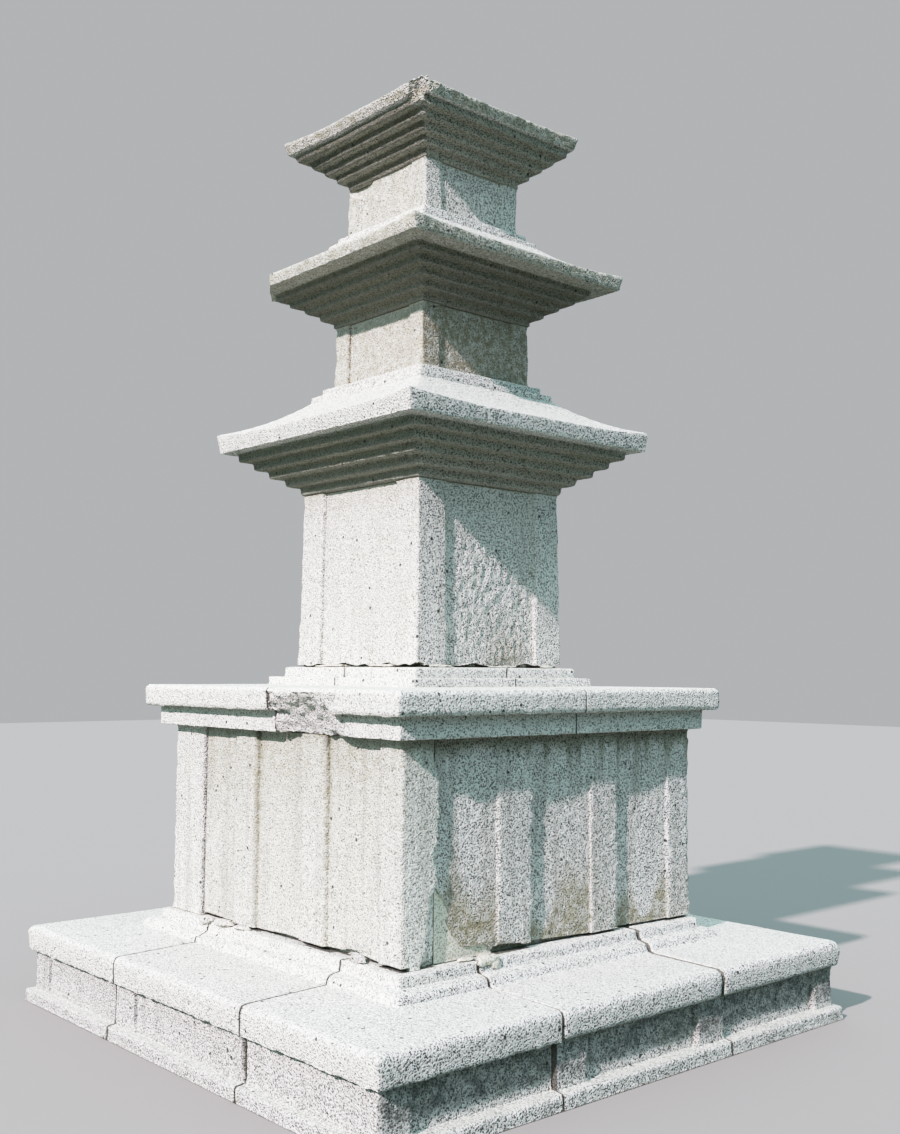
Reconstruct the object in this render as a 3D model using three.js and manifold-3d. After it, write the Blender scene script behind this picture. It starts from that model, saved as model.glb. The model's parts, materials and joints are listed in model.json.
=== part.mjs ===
// Three-storey stone pagoda on a two-tier platform.
// Millimetres, +Z up, origin on the tower's axis at ground level.
// -Y is called the front and -X the left: these are the two faces best known.
import * as THREE from 'three';
import { mergeVertices } from 'three/addons/utils/BufferGeometryUtils.js';
import Module from 'manifold-3d';

const wasm = await Module();
wasm.setup();

// Driving dimensions: half-widths are measured from the tower's axis
const JOINT = 4;

const LEDGE = { half: 1312, top: 60 };
const LOWER_BODY = { half: 1275, top: 229, split: 487, relief: 24 };
const LOWER_PILASTER = { corner: 140, inner: 318, outer: 488 };
const LOWER_CAP = { half: 1306, rim: 318, shoulder: 1284, shoulderTop: 340, split: 470 };
const SEAT_ROUND = { half: 928, foot: 350, innerHalf: 872, top: 390 };
const SEAT_STEP = { half: 868, top: 432 };

const UPPER_BODY = { half: 830, top: 1265, slab: 175, backSlab: 252, relief: 30, rightShift: 18 };
const UPPER_PILASTERS = { corner: 145, inner: 160, outer: 352, leftShift: 49 };
const UPPER_CAP = { corniceHalf: 883, corniceTop: 1351, half: 938, top: 1450 };
const CAP_STEPS = [{ half: 527, top: 1490 }, { half: 474, top: 1535 }];

const BODY_1 = { half: 432, topHalf: 420, top: 2330, panel: 265, relief: 12 };
const BODY_2 = { half: 325, topHalf: 322, top: 3129, panel: 222, relief: 10 };
const BODY_3 = { half: 288, topHalf: 287, top: 3797, panel: 188, relief: 8 };

const ROOF_1 = {
  corbelHalf: 437, corbelRun: 52, eaveBottom: 2530, eaveHalf: 706, edge: 70, flare: 14, lift: 24,
  foot: 2768, steps: [{ half: 402, top: 2800 }, { half: 364, top: 2838 }],
};
const ROOF_2 = {
  corbelHalf: 332, corbelRun: 50, eaveBottom: 3294, eaveHalf: 628, edge: 52, flare: 12, lift: 20,
  foot: 3502, steps: [{ half: 351, top: 3530 }, { half: 318, top: 3565 }],
};
const ROOF_3 = {
  corbelHalf: 291, corbelRun: 41, eaveBottom: 3975, eaveHalf: 478, edge: 50, flare: 16, lift: 16,
  foot: 4195, steps: [{ half: 150, top: 4222 }],
};
const CORBELS = 5;

const STONE = {
  pale: new THREE.Color(0.72, 0.70, 0.66),
  grey: new THREE.Color(0.60, 0.60, 0.57),
  fill: new THREE.Color(0.40, 0.36, 0.30),
  mortar: new THREE.Color(0.62, 0.55, 0.45),
};

// Solids

function signedVolume(position, index) {
  const a = new THREE.Vector3();
  const b = new THREE.Vector3();
  const c = new THREE.Vector3();
  let sum = 0;
  for (let i = 0; i < index.length; i += 3) {
    a.fromBufferAttribute(position, index[i]);
    b.fromBufferAttribute(position, index[i + 1]);
    c.fromBufferAttribute(position, index[i + 2]);
    sum += a.dot(b.cross(c));
  }
  return sum / 6;
}

function solidOf(geometry) {
  geometry.deleteAttribute('normal');
  geometry.deleteAttribute('uv');
  const merged = mergeVertices(geometry, 1e-3);
  const position = merged.getAttribute('position');
  const source = merged.getIndex().array;
  const kept = [];
  for (let i = 0; i < source.length; i += 3) {
    const [p, q, r] = [source[i], source[i + 1], source[i + 2]];
    if (p !== q && q !== r && r !== p) {
      kept.push(p, q, r);
    }
  }
  if (signedVolume(position, kept) < 0) {
    kept.reverse();
  }
  return new wasm.Manifold(new wasm.Mesh({
    numProp: 3,
    vertProperties: new Float32Array(position.array),
    triVerts: new Uint32Array(kept),
  }));
}

function geometryOf(solid) {
  const mesh = solid.getMesh();
  const geometry = new THREE.BufferGeometry();
  geometry.setAttribute('position', new THREE.BufferAttribute(new Float32Array(mesh.vertProperties), 3));
  geometry.setIndex(new THREE.BufferAttribute(new Uint32Array(mesh.triVerts), 1));
  return geometry;
}

function block(x0, x1, y0, y1, z0, z1) {
  const geometry = new THREE.BoxGeometry(x1 - x0, y1 - y0, z1 - z0);
  geometry.translate((x0 + x1) / 2, (y0 + y1) / 2, (z0 + z1) / 2);
  return solidOf(geometry);
}

// A square course whose side follows a profile of [half-width, height] points
function courseOf(profile) {
  const low = profile[0][1];
  const high = profile[profile.length - 1][1];
  const outline = [[0, low], ...profile, [0, high]];
  const points = outline.map(([half, z]) => new THREE.Vector2(half * Math.SQRT2, z));
  const geometry = new THREE.LatheGeometry(points, 4, Math.PI / 4);
  geometry.rotateX(Math.PI / 2);
  return solidOf(geometry);
}

// An upright prism over a plan outline
function prismOf(plan, z0, z1) {
  const shape = new THREE.Shape(plan.map(([x, y]) => new THREE.Vector2(x, y)));
  const geometry = new THREE.ExtrudeGeometry(shape, { depth: z1 - z0, bevelEnabled: false });
  geometry.translate(0, 0, z0);
  return solidOf(geometry);
}

// A rough lump that bites a break out of a stone
function biteOf(centre, radii, turn = 0) {
  const geometry = new THREE.IcosahedronGeometry(1, 1);
  geometry.scale(...radii);
  geometry.rotateZ(turn);
  geometry.translate(...centre);
  return solidOf(geometry);
}

const pagoda = new THREE.Group();

function addStone(name, solid, color) {
  const material = new THREE.MeshStandardMaterial({ color, roughness: 0.92, metalness: 0 });
  const mesh = new THREE.Mesh(geometryOf(solid), material);
  mesh.name = name;
  pagoda.add(mesh);
}

// The four faces, as quarter turns of the front face
const SIDES = ['front', 'right', 'back', 'left'];

function turned(solid, quarter) {
  return solid.rotate([0, 0, 90 * quarter]);
}

// A recess cut into every face between two places along it
function recessesOf(half, relief, low, high, spans) {
  let cut = null;
  for (const quarter of SIDES.keys()) {
    for (const [from, to] of spans) {
      const one = turned(block(from, to, -half - relief, -half + relief, low, high), quarter);
      cut = cut ? cut.add(one) : one;
    }
  }
  return cut;
}

// Lower platform: a course of eight blocks in a ring, with a ledge along its foot

function ringCells(split, reach, z0, z1) {
  const near = split + JOINT / 2;
  const middle = split - JOINT / 2;
  const corner = block(-reach, -near, -reach, -near, z0, z1);
  const side = block(-middle, middle, -reach, -near, z0, z1);
  const cornerNames = ['front_left', 'front_right', 'back_right', 'back_left'];
  const cells = [];
  for (const [quarter, name] of SIDES.entries()) {
    cells.push([cornerNames[quarter], turned(corner, quarter)]);
    cells.push([name, turned(side, quarter)]);
  }
  return cells;
}

function lowerBlocks() {
  const { half, top, split, relief } = LOWER_BODY;
  const ledge = courseOf([[LEDGE.half, 0], [LEDGE.half, LEDGE.top - 12], [LEDGE.half - 14, LEDGE.top]]);
  const body = courseOf([[half, LEDGE.top - 5], [half, top]]);
  const pilaster = LOWER_PILASTER;
  const spans = [
    [-half + pilaster.corner, -pilaster.outer],
    [-pilaster.inner, pilaster.inner],
    [pilaster.outer, half - pilaster.corner],
  ];
  const cut = recessesOf(half, relief, LEDGE.top, top + 10, spans);
  const ring = ledge.add(body).subtract(cut);
  for (const [name, cell] of ringCells(split, LEDGE.half + 50, -10, top + 10)) {
    addStone(`lower_block_${name}`, ring.intersect(cell), STONE.grey);
  }
}

function lowerCaps() {
  const { half, rim, shoulder, shoulderTop, split } = LOWER_CAP;
  const round = SEAT_ROUND;
  const reach = round.half - round.innerHalf;
  const rise = round.top - round.foot;
  const profile = [[half - 3, LOWER_BODY.top], [half, rim - 20], [half - 7, rim + 8], [shoulder, shoulderTop]];
  for (const angle of [0, 30, 60, 90]) {
    const turn = THREE.MathUtils.degToRad(angle);
    profile.push([round.innerHalf + reach * Math.cos(turn), round.foot + rise * Math.sin(turn)]);
  }
  profile.push([SEAT_STEP.half, round.top], [SEAT_STEP.half, SEAT_STEP.top]);
  const course = courseOf(profile);
  const wornCorner = biteOf([-905, 380, 445], [75, 330, 85], -0.06);
  const worn = course.subtract(wornCorner);
  for (const [name, cell] of ringCells(split, half + 50, LOWER_BODY.top - 10, SEAT_STEP.top + 10)) {
    addStone(`lower_cap_${name}`, worn.intersect(cell), STONE.pale);
  }
}

// Upper platform: four slabs, each lapping the end of the next, around a rubble fill

// The recesses between a slab's pilasters, from where the slab starts along its face
function slabCuts(start, shift) {
  const { half, top, relief } = UPPER_BODY;
  const { corner, inner, outer } = UPPER_PILASTERS;
  const low = SEAT_STEP.top - 10;
  const high = top + 10;
  const face = (from, to) => block(from, to, -half - relief, -half + relief, low, high);
  const first = face(start, -outer + shift);
  const middle = face(-inner + shift, inner + shift);
  const last = face(outer + shift, half - corner);
  return first.add(middle).add(last);
}

const BREAK_EDGE = [[-655, 430], [-655, 700], [-640, 690], [-600, 640], [-540, 560], [-500, 520], [-488, 430]];

function breakPrism(grow) {
  const shape = new THREE.Shape(BREAK_EDGE.map(([x, z]) => new THREE.Vector2(x, z)));
  const depth = UPPER_BODY.slab - 60;
  const geometry = new THREE.ExtrudeGeometry(shape, { depth: depth + grow, bevelEnabled: false });
  geometry.rotateX(Math.PI / 2);
  geometry.translate(0, -UPPER_BODY.half + depth + 20, 0);
  return solidOf(geometry);
}

function upperSlabs() {
  const { half, top, slab, backSlab, rightShift } = UPPER_BODY;
  const low = SEAT_STEP.top;
  const lapped = -half + slab + JOINT;
  const plainCuts = slabCuts(lapped - 1, 0);
  const leftCuts = slabCuts(-half + backSlab + JOINT - 1, UPPER_PILASTERS.leftShift);

  const front = block(lapped, half + rightShift, -half, -half + slab, low, top);
  addStone('upper_slab_front', front.subtract(plainCuts).subtract(breakPrism(30)), STONE.grey);

  const right = block(half - slab, half, lapped, half, low, top);
  addStone('upper_slab_right', right.subtract(turned(plainCuts, 1)).translate([rightShift, 0, 0]), STONE.grey);

  const back = block(-half, -lapped + rightShift, half - backSlab, half, low, top);
  addStone('upper_slab_back', back.subtract(turned(plainCuts, 2)), STONE.grey);

  const left = block(-half, -half + slab, -half, half - backSlab - JOINT, low, top);
  const wornFoot = biteOf([-half, -650, low - 6], [22, 40, 30]);
  addStone('upper_slab_left', left.subtract(turned(leftCuts, 3)).subtract(wornFoot), STONE.pale);

  const patchSpace = block(lapped + 1, -492, -half + 6, -half + slab, low, 660);
  addStone('mortar_patch', breakPrism(0).intersect(patchSpace), STONE.mortar);
}

function fills() {
  const coreHalf = LOWER_CAP.split - JOINT;
  const lower = block(-coreHalf, coreHalf, -coreHalf, coreHalf, 0, SEAT_STEP.top);
  addStone('lower_fill', lower, STONE.fill);
  const { half, top, slab, backSlab } = UPPER_BODY;
  const inside = half - slab - JOINT;
  const upper = block(-inside, inside, -inside, half - backSlab - JOINT, SEAT_STEP.top, top);
  addStone('upper_fill', upper, STONE.fill);
}

// Upper cap: four stones that meet under the tower, with a cornice below and two steps above

function upperCaps() {
  const { corniceHalf, corniceTop, half, top } = UPPER_CAP;
  const [lowStep, highStep] = CAP_STEPS;
  const course = courseOf([
    [corniceHalf, UPPER_BODY.top],
    [corniceHalf, corniceTop],
    [half - 3, corniceTop],
    [half, corniceTop + 20],
    [half, top - 12],
    [half - 12, top],
    [lowStep.half, top + 4],
    [lowStep.half, lowStep.top],
    [highStep.half, lowStep.top],
    [highStep.half, highStep.top],
  ]);
  const fracture = biteOf([-960, -250, 1290], [95, 300, 88]);
  const worn = course.subtract(fracture);

  const reach = half + 60;
  const centre = [45, 30];
  const joints = [
    [[45, -reach]],
    [[reach, 70]],
    [[-20, reach]],
    [[-reach, -98], [-lowStep.half, 10]],
  ];
  const corners = [[-reach, -reach], [reach, -reach], [reach, reach], [-reach, reach]];
  const names = ['front_left', 'front_right', 'back_right', 'back_left'];
  for (const [i, name] of names.entries()) {
    const before = [...joints[(i + 3) % 4]].reverse();
    const plan = insetPlan([centre, ...before, corners[i], ...joints[i]], JOINT / 2);
    const cell = prismOf(plan, UPPER_BODY.top - 10, highStep.top + 10);
    addStone(`upper_cap_${name}`, worn.intersect(cell), STONE.pale);
  }
}

// A plan outline with every edge moved inwards
function insetPlan(plan, distance) {
  const points = plan.map(([x, y]) => new THREE.Vector2(x, y));
  const count = points.length;
  return points.map((point, i) => {
    const before = points[(i + count - 1) % count];
    const after = points[(i + 1) % count];
    const into = point.clone().sub(before).normalize();
    const out = after.clone().sub(point).normalize();
    const normalIn = new THREE.Vector2(-into.y, into.x);
    const normalOut = new THREE.Vector2(-out.y, out.x);
    const scale = distance / (1 + normalIn.dot(normalOut));
    const moved = normalIn.add(normalOut).multiplyScalar(scale).add(point);
    return [moved.x, moved.y];
  });
}

// Storeys: a body with four corner pilasters under a roof stone cut in one with its corbels

function storeyBody(dims, bottom) {
  const { half, topHalf, top, panel, relief } = dims;
  const shaft = courseOf([[half, bottom], [topHalf, top]]);
  const lean = (half - topHalf) / (top - bottom);
  const face = block(-panel, panel, -half - relief, -half + relief, bottom - 10, top + 10);
  const leaning = face.transform([1, 0, 0, 0, 0, 1, 0, 0, 0, lean, 1, 0, 0, -lean * bottom, 0, 1]);
  let body = shaft;
  for (const quarter of SIDES.keys()) {
    body = body.subtract(turned(leaning, quarter));
  }
  return body;
}

const SIDE_STEPS = 14;
const SLOPE_STEPS = 6;

// The roof's block from the eave's lower edge up to the foot of its steps
function roofCrown(roof) {
  const { eaveBottom, eaveHalf, edge, flare, lift, foot, steps } = roof;
  const rimHalf = eaveHalf + flare;
  const footHalf = steps[0].half + 6;
  const rings = [{ half: eaveHalf, z: eaveBottom, lift: 0 }];
  for (let i = 0; i <= SLOPE_STEPS; i += 1) {
    const inward = i / SLOPE_STEPS;
    const half = rimHalf + (footHalf - rimHalf) * inward;
    const rise = 0.62 * inward + 0.38 * inward * inward;
    rings.push({ half, z: eaveBottom + edge + (foot - eaveBottom - edge) * rise, lift: lift * (1 - inward) ** 2 });
  }
  const places = [];
  for (const ring of rings) {
    for (const quarter of SIDES.keys()) {
      for (let k = 0; k < SIDE_STEPS; k += 1) {
        const along = -1 + (2 * k) / SIDE_STEPS;
        const upturn = ring.lift * Math.abs(along) ** 4;
        const place = new THREE.Vector3(along * ring.half, -ring.half, ring.z + upturn);
        place.applyAxisAngle(new THREE.Vector3(0, 0, 1), quarter * Math.PI / 2);
        places.push(place);
      }
    }
  }
  const around = 4 * SIDE_STEPS;
  const faces = [];
  for (let i = 0; i + 1 < rings.length; i += 1) {
    for (let k = 0; k < around; k += 1) {
      const here = i * around + k;
      const next = i * around + ((k + 1) % around);
      faces.push(here, next, next + around, here, next + around, here + around);
    }
  }
  const underside = places.length;
  places.push(new THREE.Vector3(0, 0, eaveBottom));
  const summit = places.length;
  places.push(new THREE.Vector3(0, 0, foot));
  const last = (rings.length - 1) * around;
  for (let k = 0; k < around; k += 1) {
    const next = (k + 1) % around;
    faces.push(underside, next, k);
    faces.push(summit, last + k, last + next);
  }
  const geometry = new THREE.BufferGeometry().setFromPoints(places);
  geometry.setIndex(faces);
  return solidOf(geometry);
}

function roofStone(roof, bottom) {
  const { corbelHalf, corbelRun, eaveBottom, foot, steps } = roof;
  const rise = (eaveBottom - bottom) / CORBELS;
  const corbels = [];
  for (let i = 0; i < CORBELS; i += 1) {
    const half = corbelHalf + corbelRun * i;
    corbels.push([half, bottom + rise * i], [half, bottom + rise * (i + 1)]);
  }
  corbels.push([corbels[corbels.length - 1][0], eaveBottom + 5]);
  let stone = roofCrown(roof).add(courseOf(corbels));
  let low = foot - 5;
  for (const step of steps) {
    stone = stone.add(courseOf([[step.half, low], [step.half, step.top]]));
    low = step.top - 5;
  }
  return stone;
}

function storeys() {
  const bottoms = [CAP_STEPS[1].top, ROOF_1.steps[1].top, ROOF_2.steps[1].top];

  addStone('body_1', storeyBody(BODY_1, bottoms[0]), STONE.pale);
  addStone('roof_1', roofStone(ROOF_1, BODY_1.top), STONE.grey);

  const wornSide = biteOf([-BODY_2.half - 8, BODY_2.half + 8, 2990], [20, 20, 90]);
  addStone('body_2', storeyBody(BODY_2, bottoms[1]).subtract(wornSide), STONE.pale);

  const lostTip = prismOf([[-700, 400], [-640, 408], [-575, 512], [-470, 650], [-470, 700], [-700, 700]], 3290, 3500);
  addStone('roof_2', roofStone(ROOF_2, BODY_2.top).subtract(lostTip), STONE.grey);

  const lostHead = biteOf([-BODY_3.half, 190, BODY_3.top + 2], [32, 118, 52]);
  addStone('body_3', storeyBody(BODY_3, bottoms[2]).subtract(lostHead), STONE.pale);

  const chippedCorner = biteOf([-520, -520, ROOF_3.eaveBottom - 40], [142, 192, 170]);
  addStone('roof_3', roofStone(ROOF_3, BODY_3.top).subtract(chippedCorner), STONE.grey);
}

lowerBlocks();
lowerCaps();
fills();
upperSlabs();
upperCaps();
storeys();

export default pagoda;
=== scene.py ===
"""A weathered three-storey stone pagoda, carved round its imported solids.

Run as a script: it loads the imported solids, registers the operators below and calls them in order.
Sizes are metres, +Z is up, the front is -Y and the left is -X.
"""

import json
import math

import bmesh
import bpy
import numpy as np
from bpy.props import FloatProperty, FloatVectorProperty, PointerProperty
from mathutils import Matrix, Vector
from mathutils.bvhtree import BVHTree

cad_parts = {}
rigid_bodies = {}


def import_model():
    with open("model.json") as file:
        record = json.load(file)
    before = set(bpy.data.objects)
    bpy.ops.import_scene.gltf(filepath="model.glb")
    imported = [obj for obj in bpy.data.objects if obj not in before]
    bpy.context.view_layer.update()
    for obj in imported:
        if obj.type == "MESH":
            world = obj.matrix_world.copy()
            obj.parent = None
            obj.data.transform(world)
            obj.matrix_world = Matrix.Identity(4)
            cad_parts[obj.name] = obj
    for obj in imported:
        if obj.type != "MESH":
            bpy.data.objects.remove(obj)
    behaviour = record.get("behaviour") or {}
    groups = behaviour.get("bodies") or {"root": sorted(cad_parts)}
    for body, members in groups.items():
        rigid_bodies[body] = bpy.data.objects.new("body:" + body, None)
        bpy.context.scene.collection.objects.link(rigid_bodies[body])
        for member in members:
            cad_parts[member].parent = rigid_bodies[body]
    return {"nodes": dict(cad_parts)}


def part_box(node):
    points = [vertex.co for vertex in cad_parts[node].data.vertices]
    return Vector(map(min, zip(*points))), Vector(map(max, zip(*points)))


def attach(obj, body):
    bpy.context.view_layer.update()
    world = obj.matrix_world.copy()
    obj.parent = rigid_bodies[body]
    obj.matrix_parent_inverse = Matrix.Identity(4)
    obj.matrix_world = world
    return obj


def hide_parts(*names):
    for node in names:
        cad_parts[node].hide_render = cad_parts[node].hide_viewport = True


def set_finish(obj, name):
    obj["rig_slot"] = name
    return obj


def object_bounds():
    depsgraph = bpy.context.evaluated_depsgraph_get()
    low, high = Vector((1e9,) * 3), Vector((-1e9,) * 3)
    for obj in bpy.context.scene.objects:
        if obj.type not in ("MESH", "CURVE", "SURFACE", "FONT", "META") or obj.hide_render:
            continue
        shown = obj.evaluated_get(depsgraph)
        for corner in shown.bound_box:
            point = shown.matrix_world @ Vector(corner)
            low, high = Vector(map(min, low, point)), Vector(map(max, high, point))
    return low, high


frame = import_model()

bl_info = {
    "name": "Stone pagoda",
    "version": (1, 0, 0),
    "blender": (4, 5, 0),
    "location": "View3D > Sidebar > Pagoda",
    "description": "Carves and weathers a three-storey stone pagoda round its packed solids",
    "category": "Add Mesh",
}

CAD_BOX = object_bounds()

FRONT, RIGHT, BACK, LEFT = range(4)
# The joints of the upper cap, half the joints of the lower platform, and the slope at the ends of a panel
GAP = 0.002
RING_GAP = 0.0021
SLOPE = 0.007

# The lower platform: profiles are (half-width, height) from the foot up, and the inner half-widths of its rings
LOWER_BLOCK_PROFILE = [(1.311, 0.0), (1.311, 0.050), (1.304, 0.059), (1.275, 0.062), (1.275, 0.229)]
LOWER_BLOCK_INNER, LOWER_CAP_INNER = 0.489, 0.472
LOWER_PANELS = [(-1.135, -0.488), (-0.318, 0.318), (0.488, 1.135)]
LOWER_BLOCK_JOINTS = dict(front=(-0.486, 0.491), right=(-0.487, 0.487), back=(-0.487, 0.487), left=(-0.500, 0.484))
LOWER_CAP_PROFILE = [
    (1.303, 0.229), (1.306, 0.303), (1.303, 0.324), (1.294, 0.336), (1.278, 0.3405),
    (0.928, 0.350), (0.926, 0.366), (0.916, 0.380), (0.896, 0.3885), (0.868, 0.390), (0.865, 0.432),
]
LOWER_CAP_JOINTS = dict(front=(-0.482, 0.450), right=(-0.470, 0.470), back=(-0.470, 0.470), left=(-0.513, 0.452))

# The upper platform
SLAB_LOW, SLAB_TOP = 0.432, 1.265
FRONT_PANELS = [(-0.700, -0.339), (-0.151, 0.193), (0.362, 0.694)]
LEFT_PANELS = [(-0.640, -0.315), (-0.149, 0.186), (0.352, 0.697)]
PLAIN_PANELS = [(-0.700, -0.352), (-0.160, 0.160), (0.352, 0.685)]
STRIP_EDGE = [
    (-0.690, 0.432), (-0.696, 0.449), (-0.691, 0.526), (-0.690, 0.604), (-0.680, 0.673), (-0.654, 0.726),
    (-0.644, 0.756), (-0.650, 0.785), (-0.666, 0.810), (-0.666, 0.822), (-0.645, 0.876), (-0.646, 0.947),
    (-0.643, 1.043), (-0.647, 1.123), (-0.669, 1.181), (-0.686, 1.213), (-0.690, 1.265),
]
BREAK_EDGE = [
    (-0.700, 0.400), (-0.700, 0.735), (-0.640, 0.700), (-0.600, 0.655), (-0.578, 0.606), (-0.594, 0.584),
    (-0.561, 0.524), (-0.517, 0.478), (-0.473, 0.470), (-0.405, 0.476), (-0.359, 0.448), (-0.340, 0.400),
]
PATCH_EDGE = [
    (-0.652, 0.433), (-0.652, 0.722), (-0.638, 0.706), (-0.597, 0.658), (-0.574, 0.607), (-0.590, 0.585),
    (-0.558, 0.527), (-0.515, 0.482), (-0.473, 0.474), (-0.404, 0.480), (-0.356, 0.452), (-0.350, 0.433),
]
# The dark gaps under the front slab (x, height) and the left slab (y, height)
FRONT_FOOT_GAP = [
    (-0.370, 0.425), (-0.370, 0.447), (-0.335, 0.462), (-0.262, 0.459), (-0.200, 0.452), (-0.090, 0.449),
    (0.030, 0.445), (0.170, 0.442), (0.360, 0.442), (0.560, 0.440), (0.860, 0.442), (0.860, 0.425),
]
LEFT_FOOT_GAP = [
    (-0.860, 0.425), (-0.860, 0.444), (-0.760, 0.447), (-0.690, 0.442), (-0.585, 0.452), (-0.520, 0.458),
    (-0.455, 0.452), (-0.330, 0.446), (-0.200, 0.447), (-0.080, 0.449), (0.040, 0.443), (0.200, 0.441),
    (0.380, 0.442), (0.590, 0.446), (0.590, 0.425),
]
# The ragged gap under the tower (along a side, height)
TOWER_FOOT_GAP = [
    (-0.46, 1.530), (-0.46, 1.549), (-0.415, 1.541), (-0.375, 1.543), (-0.345, 1.537), (-0.31, 1.540), (-0.27, 1.548),
    (-0.215, 1.541), (-0.155, 1.543), (-0.12, 1.550), (-0.085, 1.552), (-0.05, 1.545), (0.0, 1.540), (0.055, 1.547),
    (0.085, 1.541), (0.15, 1.539), (0.185, 1.549), (0.225, 1.553), (0.25, 1.546), (0.31, 1.541), (0.35, 1.548),
    (0.385, 1.542), (0.42, 1.553), (0.46, 1.548), (0.46, 1.530),
]
UPPER_CAP_PROFILE = [
    (0.883, 1.265), (0.883, 1.351), (0.932, 1.351), (0.938, 1.368), (0.938, 1.436), (0.924, 1.450),
    (0.527, 1.454), (0.527, 1.490), (0.474, 1.490), (0.474, 1.535),
]
UPPER_CAP_CENTRE = (0.045, 0.030)

# The storey bodies: (name, foot, head, half at the foot, half at the head, panel half, relief, dice size)
BODIES = [
    ("body_1", 1.535, 2.330, 0.432, 0.420, 0.265, 0.016, 0.0078),
    ("body_2", 2.838, 3.129, 0.325, 0.322, 0.222, 0.013, 0.0062),
    ("body_3", 3.565, 3.797, 0.288, 0.287, 0.188, 0.010, 0.0060),
]
# The roofs: edge is the eave's height, run the step from corbel to corbel, flare the lean of the eave's face,
# lift how far its corners turn up, neck the foot of the steps on top, reach how far one corner is drawn out
CORBELS = 5
ROOF_RINGS = 8
ROOFS = [
    dict(name="roof_1", foot=2.330, corbel=0.437, run=0.052, eave=2.530, half=0.706, edge=0.070,
         flare=0.014, lift=0.024, neck=2.768, steps=[(0.402, 2.800), (0.364, 2.838)], dice=0.0102),
    dict(name="roof_2", foot=3.129, corbel=0.332, run=0.050, eave=3.294, half=0.628, edge=0.052,
         flare=0.012, lift=0.020, neck=3.502, steps=[(0.351, 3.530), (0.318, 3.565)], dice=0.0096),
    dict(name="roof_3", foot=3.797, corbel=0.291, run=0.041, eave=3.975, half=0.478, edge=0.050,
         flare=0.016, lift=0.016, neck=4.195, steps=[(0.150, 4.222)], dice=0.0084, reach=0.018),
]
# Plan of the tip that the middle roof has lost
LOST_TIP = [(-0.700, 0.400), (-0.640, 0.408), (-0.575, 0.512), (-0.470, 0.650), (-0.470, 0.700), (-0.700, 0.700)]

# The camera: its place, its turn, tilt and roll in degrees, and its focal length for a frame of height 1
EYE_PLACE = (-3.745, -4.388, 1.518)
EYE_TURN = (41.43, 4.78, 0.37)
EYE_FOCAL = 1247.7 / 1134
FRAME_HEIGHT = 36
# The light: a sun from the left and a sky that is brighter overhead
SUN_FROM = (-1.0, -0.238, 0.70)
SUN_STRENGTH, SUN_WIDTH, SUN_COLOUR = 6.6, 1.6, (1.0, 0.858, 0.915)
SKY_LOW, SKY_HIGH, BACKDROP = (0.53, 0.96, 1.02), (0.76, 0.94, 1.0), (0.44, 0.455, 0.47)
SKY_STRENGTH = (0.30, 1.36)
# The floor as the eye sees it, and as it throws light back
FLOOR_SEEN, FLOOR_LIT = (0.30, 0.285, 0.275), (0.075, 0.085, 0.062)
# The picture's soft shoulder: scene brightness and what is shown for it
FILM_WHITE = 2.5
FILM_CURVE = [(0.20, 0.20), (0.45, 0.45), (0.90, 0.72), (1.14, 0.80), (1.60, 0.91)]


# ---------------------------------------------------------------- properties

def depth_of(name, description, default, highest, lowest=0):
    return FloatProperty(name=name, description=description, default=default, min=lowest, max=highest, unit="LENGTH")


def colour_of(name, description, default):
    return FloatVectorProperty(name=name, description=description, default=default, subtype="COLOR", size=3,
                               min=0, max=1)


class PagodaWear(bpy.types.PropertyGroup):
    """How far rain and handling have worn the stones."""
    dice: depth_of("Carving grid", "Distance between mesh points on the platforms", 0.0099, 0.04, 0.004)
    wave: depth_of("Hand dressing", "Depth of the slow unevenness of a dressed face", 0.004, 0.02)
    chip: depth_of("Arris chips", "Depth of the chips along the edges", 0.006, 0.03)
    peck: depth_of("Pecking", "Depth of the chisel pecks on a face", 0.0018, 0.01)


class PagodaColours(bpy.types.PropertyGroup):
    """The colours of the granite and of what has settled on it."""
    pale: colour_of("Granite", "Clean pale granite", (0.68, 0.678, 0.668))
    fleck: colour_of("Black mica", "The dark grains in the granite", (0.075, 0.075, 0.072))
    smoke: colour_of("Grey grain", "The grey grains in the granite", (0.33, 0.33, 0.33))
    lichen: colour_of("Lichen", "Olive growth in joints and corners", (0.30, 0.27, 0.10))
    # Partly a real damp bloom, partly painted shade on the faces under the eaves and under the cornice.
    soot: colour_of("Damp underside", "Dark bloom under the eaves", (0.185, 0.180, 0.118))
    rust: colour_of("Iron stain", "Rusty patches of the granite", (0.34, 0.20, 0.10))
    mortar: colour_of("Mortar", "Lime mortar in the patch and joints", (0.50, 0.455, 0.405))


# ---------------------------------------------------------------- modelling by hand

def select_only(piece):
    if bpy.context.view_layer.objects.active is piece and bpy.context.selected_objects == [piece]:
        return
    bpy.ops.object.select_all(action="DESELECT")
    piece.select_set(True)
    bpy.context.view_layer.objects.active = piece


def open_edit(piece, kind="FACE"):
    select_only(piece)
    bpy.ops.object.mode_set(mode="EDIT")
    bpy.ops.mesh.select_mode(type=kind)
    bpy.ops.mesh.select_all(action="DESELECT")


def close_edit():
    bpy.ops.object.mode_set(mode="OBJECT")


def pick_faces(piece, wanted):
    """Selects the faces whose middle and normal pass the test."""
    form = bmesh.from_edit_mesh(piece.data)
    for face in form.faces:
        face.select_set(False)
    for face in form.faces:
        if wanted(face.calc_center_median(), face.normal):
            face.select_set(True)
    bmesh.update_edit_mesh(piece.data)


def shape(piece, kind, name, **settings):
    """Adds a modifier with its settings and works it into the mesh."""
    modifier = piece.modifiers.new(name, kind)
    for key, value in settings.items():
        setattr(modifier, key, value)
    select_only(piece)
    bpy.ops.object.modifier_apply(modifier=modifier.name)


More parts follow.
